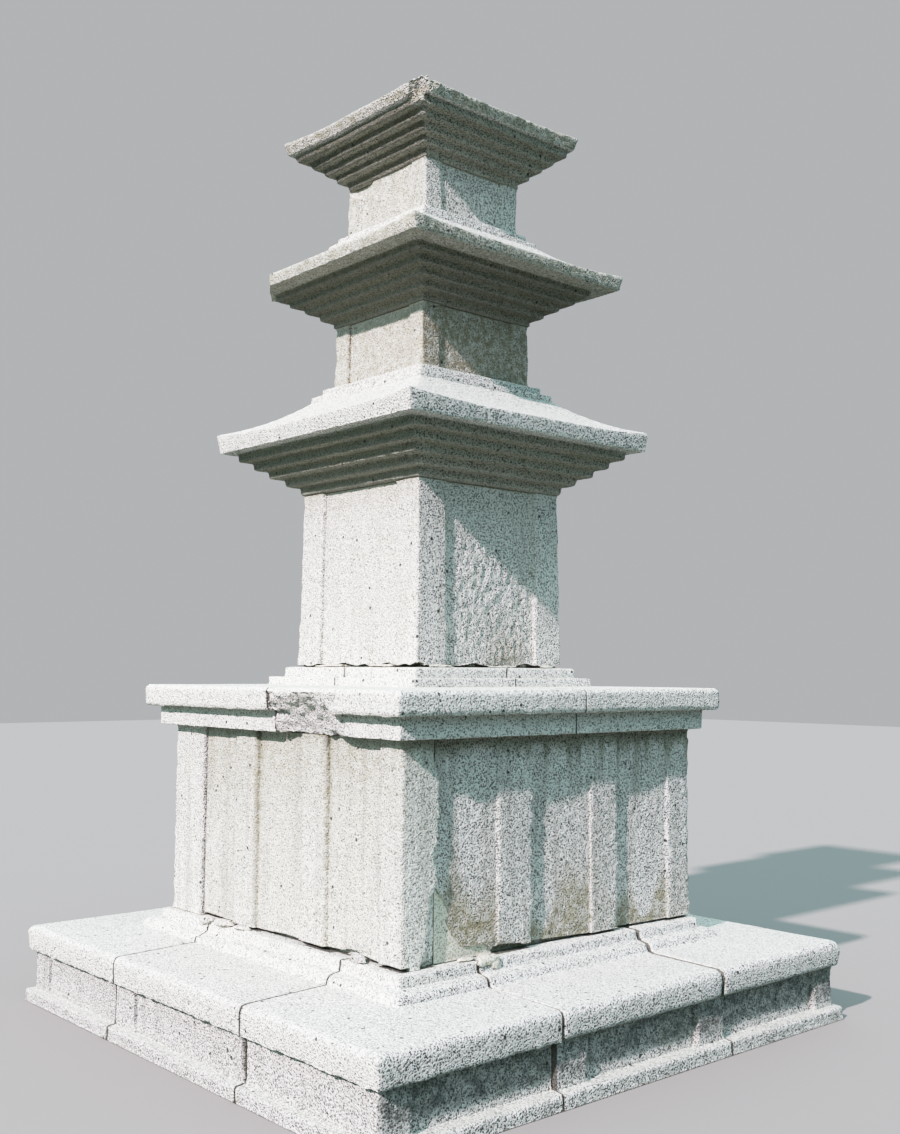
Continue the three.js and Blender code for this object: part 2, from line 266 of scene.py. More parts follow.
def add_named(name, add, **settings):
    """Adds a primitive as the only selected object, and names it."""
    bpy.ops.object.select_all(action="DESELECT")
    add(**settings)
    piece = bpy.context.object
    piece.name = piece.data.name = name
    return piece


def settle():
    """Works the place, turn and size of what is selected into its points."""
    bpy.ops.object.transform_apply(location=True, rotation=True, scale=True)


def add_block(name, low, high):
    """A block between two corners."""
    size = [b - a for a, b in zip(low, high)]
    middle = [(a + b) / 2 for a, b in zip(low, high)]
    piece = add_named(name, bpy.ops.mesh.primitive_cube_add, size=1, location=middle, scale=size)
    settle()
    return piece


def add_course(name, profile):
    """A square course whose sides follow a profile of (half-width, height) points."""
    half, foot = profile[0]
    height = profile[1][1]
    piece = add_block(name, (-half, -half, foot), (half, half, height))
    open_edit(piece)
    pick_faces(piece, lambda middle, normal: normal.z > 0.9)
    for i, (next_half, next_height) in enumerate(profile[1:]):
        if i:
            bpy.ops.mesh.extrude_region_move(TRANSFORM_OT_translate={"value": (0, 0, next_height - height)})
        ratio = next_half / half
        bpy.ops.transform.resize(value=(ratio, ratio, 1), center_override=(0, 0, next_height))
        half, height = next_half, next_height
    close_edit()
    return piece


def copy_of(piece, name):
    select_only(piece)
    bpy.ops.object.duplicate()
    copy = bpy.context.object
    copy.name = copy.data.name = name
    return copy


def remove(*pieces):
    for piece in pieces:
        mesh = piece.data
        bpy.data.objects.remove(piece)
        bpy.data.meshes.remove(mesh)


def trim(piece, x=(None, None), y=(None, None)):
    """Cuts a piece off beyond the limits given, and closes the cuts."""
    open_edit(piece)
    for axis, (low, high) in ((Vector((1, 0, 0)), x), (Vector((0, 1, 0)), y)):
        for limit, outward in ((low, -axis), (high, axis)):
            if limit is not None:
                bpy.ops.mesh.select_all(action="SELECT")
                bpy.ops.mesh.bisect(plane_co=axis * limit, plane_no=outward, use_fill=True, clear_outer=True)
    close_edit()
    return piece


def side_axes(side):
    """Outward direction of a side and the direction along it, seen from outside left to right."""
    turn = Matrix.Rotation(math.pi / 2 * side, 3, "Z")
    outward = turn @ Vector((0, -1, 0))
    along = turn @ Vector((1, 0, 0))
    return Vector([round(v) for v in outward]), Vector([round(v) for v in along])


def sink_panels(piece, side, panels, depth, foot=-1.0, rise=0.0):
    """Pushes the panels between the pilasters of one side inwards, with sloping ends; rise lifts their right end."""
    outward, along = side_axes(side)
    surface = max(vertex.co.dot(outward) for vertex in piece.data.vertices if vertex.co.z > foot)
    open_edit(piece)
    for start, end in panels:
        for place in (start, start + SLOPE, end - SLOPE, end):
            bpy.ops.mesh.select_all(action="SELECT")
            bpy.ops.mesh.bisect(plane_co=along * place, plane_no=along)
    for start, end in panels:
        low, high = start + SLOPE, end - SLOPE
        pick_faces(piece, lambda middle, normal: normal.dot(outward) > 0.9 and middle.z > foot
                   and low < middle.dot(along) < high)
        bpy.ops.transform.translate(value=-outward * depth)
    if rise:
        bpy.ops.mesh.select_mode(type="VERT")
        bpy.ops.mesh.select_all(action="DESELECT")
        form = bmesh.from_edit_mesh(piece.data)
        for vertex in form.verts:
            sunk = abs(vertex.co.dot(outward) - surface + depth) < GAP
            if sunk and any(abs(vertex.co.dot(along) - end + SLOPE) < GAP for start, end in panels):
                vertex.select_set(True)
        bmesh.update_edit_mesh(piece.data)
        bpy.ops.transform.translate(value=outward * rise)
    close_edit()


def add_outline(name, points, thickness):
    """A plate: the outline is laid point by point, filled, and drawn out by the thickness vector."""
    piece = add_named(name, bpy.ops.mesh.primitive_circle_add, vertices=len(points), radius=1, fill_type="NGON")
    open_edit(piece, "VERT")
    for i, point in enumerate(points):
        form = bmesh.from_edit_mesh(piece.data)
        form.verts.ensure_lookup_table()
        for vertex in form.verts:
            vertex.select_set(False)
        form.verts[i].select_set(True)
        step = Vector(point) - form.verts[i].co
        bmesh.update_edit_mesh(piece.data)
        bpy.ops.transform.translate(value=step)
    bpy.ops.mesh.select_mode(type="FACE")
    bpy.ops.mesh.select_all(action="SELECT")
    bpy.ops.mesh.extrude_region_move(TRANSFORM_OT_translate={"value": thickness})
    bpy.ops.mesh.select_all(action="SELECT")
    bpy.ops.mesh.normals_make_consistent(inside=False)
    close_edit()
    return piece


def add_lump(name, middle, radii, lean=(0, 0, 0), rough=0.25, grain=0.9, seed=0.0, detail=4):
    """A rough boulder shape: an ico sphere, knocked about and stretched."""
    piece = add_named(name, bpy.ops.mesh.primitive_ico_sphere_add, subdivisions=detail, radius=1)
    piece.location = [seed * step for step in LUMP_PATTERN_STEP]
    knock(piece, "lump", rough, grain, contrast=1.4)
    knock(piece, "lump grain", 0.4 * rough, 0.25 * grain, contrast=2.0)
    piece.location = middle
    piece.scale = radii
    piece.rotation_euler = lean
    settle()
    return piece


def carve(piece, *cutters, operation="DIFFERENCE"):
    """Takes the cutters out of the piece, keeps what they hold or joins them on, and then removes them."""
    for cutter in cutters:
        shape(piece, "BOOLEAN", "carve", operation=operation, solver="EXACT", object=cutter)
        remove(cutter)
    return piece


def knock(piece, name, depth, grain, group="", contrast=1.0, shade=1.0, layers=3):
    """Presses a rough pattern into the surface, following a group of points where one is named."""
    texture = bpy.data.textures.new(name, "CLOUDS")
    texture.noise_scale = grain
    texture.noise_depth = layers
    texture.contrast = contrast
    texture.intensity = shade
    shape(piece, "DISPLACE", name, texture=texture, texture_coords="GLOBAL", strength=-depth, mid_level=0,
          vertex_group=group)


# ---------------------------------------------------------------- measuring a surface

def read_all(rows, name, width, kind=float):
    values = np.zeros(len(rows) * width, dtype=kind)
    rows.foreach_get(name, values)
    return values.reshape(-1, width)


def points_of(mesh):
    return read_all(mesh.vertices, "co", 3)


def normals_of(mesh):
    return read_all(mesh.vertex_normals, "vector", 3)


def edges_of(mesh):
    return read_all(mesh.edges, "vertices", 2, np.int64)


def spread(values, edges, rounds):
    """Averages a value with its neighbours along the edges, some rounds over."""
    first, second = edges.T
    count = len(values)
    links = np.maximum(np.bincount(first, minlength=count) + np.bincount(second, minlength=count), 1)
    for _ in range(rounds):
        total = np.bincount(first, weights=values[second], minlength=count)
        total += np.bincount(second, weights=values[first], minlength=count)
        values = 0.5 * values + 0.5 * total / links
    return values


def smoothstep(low, high, values):
    t = np.clip((values - low) / (high - low), 0, 1)
    return t * t * (3 - 2 * t)


def weigh(piece, name, weights, levels=24):
    """Stores a weight for each point as a vertex group."""
    group = piece.vertex_groups.new(name=name)
    steps = np.round(np.clip(weights, 0, 1) * levels).astype(int)
    for step in range(1, levels + 1):
        chosen = np.flatnonzero(steps == step)
        if len(chosen):
            group.add(chosen.tolist(), step / levels, "REPLACE")


def store(piece, name, values):
    """Stores a value for each point for the material to read."""
    attribute = piece.data.attributes.new(name, "FLOAT", "POINT")
    attribute.data.foreach_set("value", np.clip(values, 0, 1).astype(np.float32))


# What a stone lies against, as one surface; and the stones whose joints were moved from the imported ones, each
# as the corners and triangles of its carved form
NEIGHBOURS = {}
CARVED = {}
# How far a neighbour is felt, and how far one may lie and still be looked at
REACH, NEARBY = 0.030, 0.06
# A point is covered when a ray from just under its surface meets another stone within this stretch
COVER_START, COVER_REACH = 0.003, 0.034


def surface_of(mesh):
    mesh.calc_loop_triangles()
    return [vertex.co.copy() for vertex in mesh.vertices], [list(t.vertices) for t in mesh.loop_triangles]


def neighbours_of(piece, node):
    """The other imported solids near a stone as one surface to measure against."""
    key = node or piece.name
    if key not in NEIGHBOURS:
        corners = np.array([corner[:] for corner in piece.bound_box])
        low, high = corners.min(axis=0), corners.max(axis=0)
        vertices, triangles = [], []
        for name, other in frame["nodes"].items():
            if name == node:
                continue
            other_low, other_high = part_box(name)
            if max(max(other_low[i] - high[i], low[i] - other_high[i]) for i in range(3)) > NEARBY:
                continue
            corners, faces = CARVED.get(name) or surface_of(other.data)
            start = len(vertices)
            vertices.extend(corners)
            triangles.extend([start + i for i in face] for face in faces)
        NEIGHBOURS[key] = BVHTree.FromPolygons(vertices, triangles)
    return NEIGHBOURS[key]


def hidden_and_near(piece, node):
    """For each point, whether another stone covers it, how near the next stone is, and if it faces that stone."""
    tree = neighbours_of(piece, node)
    points, normals = points_of(piece.data), normals_of(piece.data)
    hidden, near, facing = np.zeros((3, len(points)))
    for i, (point, normal) in enumerate(zip(points, normals)):
        here, outward = Vector(point), Vector(normal)
        covered = tree.ray_cast(here - outward * COVER_START, outward, COVER_REACH)[0] is not None
        hidden[i] = covered or point[2] < 0.001
        place, _, _, distance = tree.find_nearest(here, REACH)
        if distance is not None:
            near[i] = 1 - distance / REACH
            apart = place - here
            facing[i] = 1 if apart.length < 0.0002 else apart.normalized().dot(outward)
    return hidden, near, smoothstep(0.60, 0.78, near) * (facing > 0.35)


# ---------------------------------------------------------------- weathering a stone

STONE_COUNT = [0]
# Steps from stone to stone through the wear patterns and through the range of stone tones
PATTERN_STEP = (2.37, 1.71, 0.93)
STONE_SHIFT = (7.0, 11.0, 5.0)
LUMP_PATTERN_STEP = (7.3, 3.1, 5.7)
GOLDEN_STEP = 0.618
# A point that stands proud of its slow surroundings by this much begins to be, and is, an arris
BULGE_RANGE = (0.0006, 0.0042)
BULGE_GRID = 0.0085


def cut_small(piece, dice):
    """Cuts the form into small squares that keep its arrises sharp."""
    carved = copy_of(piece, "carved form")
    extent = max(piece.dimensions)
    depth = math.ceil(math.log2(extent / (0.9 * dice)))
    shape(piece, "REMESH", "squares", mode="SHARP", octree_depth=depth, scale=extent / (dice * 2 ** depth),
          use_remove_disconnected=False)
    shape(piece, "SHRINKWRAP", "back to the form", target=carved, wrap_method="NEAREST_SURFACEPOINT",
          wrap_mode="ON_SURFACE")
    remove(carved)


def smooth_down(piece, name, weights, factor, rounds):
    weigh(piece, name, weights)
    shape(piece, "SMOOTH", name, factor=factor, iterations=max(2, int(rounds)), vertex_group=name)


def tooling(normals, top, left, front):
    """How strongly each face is pecked, by the way it faces: the fronts most, tops and the left least. It also sets
    how many dark grains, how much painted shade in the pecks and how much painted highlight on their rims show.
    """
    toward = np.clip(normals, 0, 1) ** 2
    away = np.clip(-normals, 0, 1) ** 2
    return (0.75 * toward[:, 0] + left * away[:, 0] + 0.8 * toward[:, 1] + front * away[:, 1]
            + top * toward[:, 2] + 0.8 * away[:, 2])


def finish_stone(piece, node, slot, dice=None, wave=1.0, chip=1.0, peck=1.0, soft=None, worn=None, gouge=None,
                 arrange=None, soffit=None, broken=None, stain_and_shade_mask=None, top=0.3, left=0.4, front=1.0, name=None):
    """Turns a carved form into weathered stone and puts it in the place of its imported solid."""
    wear = bpy.context.scene.pagoda_wear
    dice = dice or wear.dice
    finer = (wear.dice / dice) ** 2
    STONE_COUNT[0] += 1
    number = STONE_COUNT[0]

    cut_small(piece, dice)
    if arrange:
        arrange(piece)
    edges = edges_of(piece.data)
    hidden, near, jointed = hidden_and_near(piece, node)
    open_face = np.where(hidden > 0, np.minimum(1 - spread(hidden, edges, 2), 0.3), 1)
    if soft is not None:
        clear = 1 - smoothstep(0.2, 0.7, near)
        smooth_down(piece, "soft", soft(points_of(piece.data)) * open_face * clear, 0.9, 10 * finer)

    points, normals = points_of(piece.data), normals_of(piece.data)
    rounds = max(2, int(round(6 * (BULGE_GRID / dice) ** 2)))
    slow = np.stack([spread(points[:, k], edges, rounds) for k in range(3)], axis=1)
    bulge = ((points - slow) * normals).sum(axis=1)
    arris = smoothstep(*BULGE_RANGE, bulge)
    hollow = smoothstep(*BULGE_RANGE, -bulge)
    wide = spread(arris, edges, 2)
    roughness = tooling(normals, top, left, front)
    tight = smoothstep(0.4, 0.9, near) * (0.75 + 0.2 * smoothstep(0.3, 0.8, normals[:, 2]))
    chipped = np.clip(wide * (1.5 if worn is None else 1.5 * worn(points)), 0, 1) * (1 - tight)

    smooth_down(piece, "rounded", np.minimum(wide * 1.6, 1) * open_face * (1 - tight), 0.5, 4 * finer)
    weigh(piece, "face", open_face)
    weigh(piece, "arris", chipped * open_face)
    weigh(piece, "peck", open_face * roughness)
    knock(piece, "hand dressing", wear.wave * wave, 0.28, "face", contrast=1.4, layers=1)
    piece.location = [number * step for step in PATTERN_STEP]
    knock(piece, "arris chips", wear.chip * chip, 0.055, "arris", contrast=3.2, shade=0.62)
    knock(piece, "arris wear", 0.0028 * chip, 0.016, "arris", contrast=2.0, shade=0.9, layers=1)
    knock(piece, "pecks", wear.peck * peck, 0.020, "peck", contrast=2.2, shade=0.9, layers=2)
    if gouge is not None:
        weigh(piece, "gouge", gouge(points) * open_face)
        piece.scale = (1, 1, 0.5)
        knock(piece, "gouges", 0.0066, 0.020, "gouge", contrast=2.4, shade=0.8)
        piece.scale = (1, 1, 1)
    if broken is not None:
        weigh(piece, "broken", broken(points) * open_face)
        knock(piece, "broken stone", 0.016, 0.045, "broken", contrast=2.6, shade=0.8)
    piece.location = (0, 0, 0)

    points, normals = points_of(piece.data), normals_of(piece.data)
    # Downward faces, or the faces a given mask picks, get the underside colour: partly damp, partly painted shade.
    under = smoothstep(0.72, 0.92, -normals[:, 2]) if soffit is None else soffit(points, normals)
    if broken is not None:
        lost = broken(points)
        under *= 1 - lost
        roughness = np.maximum(roughness, 0.70 * lost)
    # Sheltered: hollows and points near another stone, less on tops; it drives lichen and a dark coat that is partly
    # soil and partly painted shade.
    shelter = np.clip(1.1 * spread(hollow, edges, 2) + 0.55 * smoothstep(0.6, 1.0, near), 0, 1)
    shelter *= 1 - 0.75 * smoothstep(0.5, 0.9, normals[:, 2])
    jointed = np.maximum(jointed, smoothstep(0.5, 0.9, spread(hidden, edges, 1)))
    shelter = np.maximum(shelter, 0.8 * jointed)
    for label, values in (("worn", arris), ("sheltered", shelter), ("underside", under), ("tooled", roughness)):
        store(piece, label, spread(values, edges, 1))
    store(piece, "jointed", jointed)
    # Stains, and painted shade where the stone's mask paints it, for the film coat.
    store(piece, "stain_and_painted_shade", np.zeros(len(points)) if stain_and_shade_mask is None else stain_and_shade_mask(points, normals))
    store(piece, "stone", np.full(len(points), (number * GOLDEN_STEP) % 1.0))

    covered = spread(1 - hidden, edges, 3) < 0.02
    weigh(piece, "covered", covered.astype(float))
    shape(piece, "DECIMATE", "thin out", ratio=1.01 - covered.mean(), vertex_group="covered")
    piece.vertex_groups.clear()
    points = np.clip(points_of(piece.data), *[np.array(corner) for corner in CAD_BOX])
    piece.data.vertices.foreach_set("co", points.ravel())
    piece.data.update()
    select_only(piece)
    bpy.ops.object.shade_smooth_by_angle(angle=math.radians(42), keep_sharp_edges=False)
    place_stone(piece, node, slot, name)


def place_stone(piece, node, slot, name=None):
    """Names the piece after its stone, gives it its finish and its place in the frame."""
    piece.name = piece.data.name = name or f"{node}_stone"
    piece.data.materials.clear()
    piece.data.materials.append(finish_for(slot))
    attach(piece, "root")
    if name is None:
        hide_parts(node)
    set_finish(piece, slot)
    piece.hide_viewport = True


# ---------------------------------------------------------------- materials

class Wiring:
    """Adds nodes to a node tree and joins them up."""

    def __init__(self, tree):
        self.tree = tree
        self.place = 0

    def add(self, kind, inputs=(), **settings):
        node = self.tree.nodes.new(kind)
        self.place += 1
        node.location = (180 * (self.place % 12), -220 * (self.place // 12))
        for key, value in settings.items():
            setattr(node, key, value)
        for key, value in dict(inputs).items():
            if isinstance(value, bpy.types.NodeSocket):
                self.tree.links.new(value, node.inputs[key])
            else:
                node.inputs[key].default_value = value
        return node

    def maths(self, operation, first, second=0.0, clamp=False):
        return self.add("ShaderNodeMath", {0: first, 1: second}, operation=operation, use_clamp=clamp).outputs[0]

    def times(self, value, *others):
        for other in others:
            value = self.maths("MULTIPLY", value, other)
        return value

    def remap(self, value, low, high, start=0.0, end=1.0):
        ends = {"Value": value, "From Min": low, "From Max": high, "To Min": start, "To Max": end}
        return self.add("ShaderNodeMapRange", ends, clamp=True).outputs[0]

    def blend(self, amount, first, second, kind="MIX"):
        return self.add("ShaderNodeMix", {0: amount, 6: first, 7: second}, data_type="RGBA",
                        blend_type=kind).outputs[2]

    def coats(self, base, layers):
        """Lays coats over a base colour; each is the amount of it that shows, and its colour."""
        for amount, colour in layers:
            base = self.blend(amount, base, colour)
        return base

    def vector(self, operation, first, second):
        return self.add("ShaderNodeVectorMath", {0: first, 1: second}, operation=operation).outputs[0]

    def noise(self, vector, scale, detail=3.0, rough=0.55, distortion=0.0):
        return self.add("ShaderNodeTexNoise", {"Vector": vector, "Scale": scale, "Detail": detail,
                                               "Roughness": rough, "Distortion": distortion}).outputs[0]

    def cells(self, vector, scale):
        """Voronoi cells: the outputs, and the random colour of each cell as three numbers."""
        found = self.add("ShaderNodeTexVoronoi", {"Vector": vector, "Scale": scale}).outputs
        return found, self.add("ShaderNodeSeparateColor", {0: found["Color"]}).outputs

    def attribute(self, name):
        return self.add("ShaderNodeAttribute", attribute_name=name).outputs["Fac"]

    def group(self, tree, inputs):
        return self.add("ShaderNodeGroup", inputs, node_tree=tree).outputs

    def give(self, out, **values):
        """Joins values to the outputs of a group; an underscore stands for a space."""
        for label, value in values.items():
            self.tree.links.new(value, out[label.replace("_", " ")])
        return self.tree


def new_group(name, numbers, outputs):
    """An empty shader group for a vector and some numbers: its wiring, what comes in and what goes out."""
    tree = bpy.data.node_groups.new(name, "ShaderNodeTree")
    tree.interface.new_socket(name="Vector", in_out="INPUT", socket_type="NodeSocketVector")
    for label, default in numbers.items():
        socket = tree.interface.new_socket(name=label, in_out="INPUT", socket_type="NodeSocketFloat")
        socket.default_value = default
    for label in outputs:
        tree.interface.new_socket(name=label, in_out="OUTPUT", socket_type="NodeSocketFloat")
    w = Wiring(tree)
    return w, w.add("NodeGroupInput").outputs, w.add("NodeGroupOutput").inputs


def granite_grain():
    """Salt and pepper: each grain of the granite is one cell, dark, grey or pale."""
    w, given, out = new_group("granite grain", {"Grains per metre": 130.0, "Dark share": 0.1, "Grey share": 0.3},
                              ("Dark", "Grey", "Shade"))
    wander = w.add("ShaderNodeTexNoise", {"Vector": given["Vector"], "Scale": 120.0, "Detail": 1.0}).outputs[1]
    wander = w.vector("SUBTRACT", wander, (0.5, 0.5, 0.5))
    wander = w.vector("MULTIPLY", wander, (0.006, 0.006, 0.006))
    place = w.vector("ADD", given["Vector"], wander)
    _, chance = w.cells(place, given["Grains per metre"])
    dark = w.maths("LESS_THAN", chance[0], given["Dark share"])
    both = w.maths("ADD", given["Dark share"], given["Grey share"])
    grey = w.maths("SUBTRACT", w.maths("LESS_THAN", chance[0], both), dark, clamp=True)
    return w.give(out, Dark=dark, Grey=grey, Shade=chance[1])


# Rain marks: noise scale in a metre, detail, roughness, distortion, and the part of the noise's range that shows
RAIN = {
    "Mottle": (2.6, 6.0, 0.62, 0.0, 0.36, 0.66),
    "Streaks": (1.0, 5.0, 0.60, 0.0, 0.47, 0.72),
    "Blotches": (9.0, 5.0, 0.65, 0.4, 0.50, 0.70),
    "Fine blotches": (30.0, 5.0, 0.70, 0.0, 0.40, 0.60),
}


def rain_marks():
    """Slow mottling, upright streaks and blotches left by rain."""
    w, given, out = new_group("rain marks", {}, RAIN)
    tall = w.vector("MULTIPLY", given["Vector"], (19.0, 19.0, 1.3))
    for mark, (scale, detail, rough, distortion, low, high) in RAIN.items():
        noise = w.noise(tall if mark == "Streaks" else given["Vector"], scale, detail, rough, distortion)
        w.give(out, **{mark: w.remap(noise, low, high)})
    return w.tree


def joint_growth():
    """Lichen, and a dark coat that is partly soil and partly painted shade, where a surface is sheltered."""
    w, given, out = new_group("joint growth", {"Sheltered": 0.0}, ("Lichen", "Soil"))
    patchy = w.noise(given["Vector"], 24.0, 5.0, 0.7)
    broad = w.noise(given["Vector"], 5.0, 2.0, 0.5)
    lichen = w.times(w.remap(patchy, 0.38, 0.60), w.remap(given["Sheltered"], 0.22, 0.85),
                     w.remap(broad, 0.36, 0.56, 0.35, 1.0))
    soil = w.times(w.remap(given["Sheltered"], 0.45, 1.0), w.remap(patchy, 0.30, 0.62, 0.4, 1.0))
    return w.give(out, Lichen=lichen, Soil=soil)


def pecked_relief():
    """The fine relief of chisel pecks, lost grains and pits."""
    w, given, out = new_group("pecked relief", {}, ("Height", "Pits"))
    pecks = w.noise(given["Vector"], PECKING["fine"], 2.0, 0.6)
    dimples, _ = w.cells(given["Vector"], PECKING["dimples"])
    pecks = w.maths("ADD", w.times(pecks, 1.0 - PECKING["dimple_weight"]),
                    w.times(dimples["Distance"], PECKING["dimple_weight"]))
    coarse = w.noise(given["Vector"], PECKING["coarse"], 2.0, 0.5)
    holes, chance = w.cells(given["Vector"], PECKING["pits"])
    pit = w.times(w.remap(holes["Distance"], *PECKING["pit_edge"], 1.0, 0.0),
                  w.maths("LESS_THAN", chance[2], PECKING["pit_share"]))
    height = w.maths("ADD", w.times(pecks, PECKING["fine_weight"]), w.times(coarse, PECKING["coarse_weight"]))
    height = w.maths("SUBTRACT", height, w.times(pit, PECKING["pit_depth"]))
    return w.give(out, Height=height, Pits=pit)


# How each stone looks: its tone, the shares of dark and grey grains, their number in a metre, and how much of each
# staining, growth and underside darkening it carries. relief is how deep the pecking is shaded, in metres. The lower
# platform's film colour is painted shade, and its low tone is partly painted shade.
FINISHES = {
    "platform_granite": dict(tone=0.74, dark=0.12, grey=0.34, grains=140, mottle=0.45, streaks=0.35, lichen=0.7,
                             soot=0.45, relief=0.024, warm=0.22, film=(0.055, 0.068, 0.064)),
    "cap_granite": dict(tone=1.34, dark=0.10, grey=0.30, grains=145, mottle=0.24, streaks=0.14, lichen=0.5,
                        soot=0.55, relief=0.026, warm=0.08, film=(0.19, 0.18, 0.13)),
    "slab_granite": dict(tone=1.15, dark=0.12, grey=0.32, grains=140, mottle=0.36, streaks=0.46, lichen=1.2,
                         soot=1.0, relief=0.027, warm=0.52),
    "body_granite": dict(tone=1.09, dark=0.10, grey=0.28, grains=145, mottle=0.26, streaks=0.26, lichen=1.1,
                         soot=0.5, relief=0.025, warm=0.40, film=(0.24, 0.200, 0.110)),
    "roof_granite": dict(tone=1.12, dark=0.12, grey=0.32, grains=145, mottle=0.26, streaks=0.15, lichen=0.8,
                         soot=1.0, relief=0.024, warm=0.16),
    "rubble_fill": dict(tone=0.62, dark=0.18, grey=0.4, grains=70, mottle=0.5, streaks=0.0, lichen=0.5,
                        soot=0.6, relief=0.0060, warm=0.7),
    "lime_mortar": dict(tone=0.95, dark=0.03, grey=0.15, grains=220, mottle=0.40, streaks=0.1, lichen=0.8,
                        soot=0.3, relief=0.0040, warm=0.25, coarse=0.45),
}


# The pecked surface: noise scales in a metre, the height below which a hollow gets painted shade and above which a
# crest gets a painted highlight, and how strongly each shows on a smooth face and on a rough one
PECKING = dict(fine=168.0, dimples=129.0, dimple_weight=0.42, coarse=87.0, fine_weight=1.05, coarse_weight=0.24,
               pits=46.0, pit_edge=(0.20, 0.34), pit_share=0.020, pit_depth=1.1,
               hollow=(0.540, 0.585), hollow_shows=(0.40, 0.98), crest=(0.595, 0.645), crest_shows=(0.50, 1.0),
               flecks_show=(0.80, 0.95), relief_shows=(0.28, 1.0))


# The colours of the coats on a stone, from the bare granite outwards. The hollow, damp hollow and pit colours are
# painted shade, the crest and damp crest colours a painted highlight, and the film, damp film, soil and joint colours
# are real stains, soil and damp that also carry painted shade.
COATS = {
    "warm": (0.63, 0.555, 0.40), "dull": (0.42, 0.41, 0.39), "clear": (1.0, 0.98, 0.95),
    "hollow": (0.085, 0.088, 0.080), "crest": (0.92, 0.91, 0.88),
    "washed tinge": (0.975, 1.0, 0.935), "rough tinge": (1.0, 0.996, 1.0),
    "film": (0.27, 0.243, 0.135), "streak": (0.27, 0.26, 0.22),
    "damp grain": (0.03, 0.03, 0.025), "damp hollow": (0.05, 0.055, 0.04), "damp crest": (0.52, 0.51, 0.42),
    "damp film": (0.045, 0.047, 0.030), "rubbed": (0.74, 0.73, 0.69), "soil": (0.10, 0.09, 0.065),
    "joint": (0.055, 0.050, 0.038), "pit": (0.06, 0.06, 0.055),
}


def tinted(colour, factor=1.0):
    return (*[min(1.0, channel * factor) for channel in colour], 1.0)


def coat(name, factor=1.0):
    return tinted(COATS[name], factor)


def effect(make):
    """The shader group that the function makes, made once."""
    return bpy.data.node_groups.get(make.__name__.replace("_", " ")) or make()


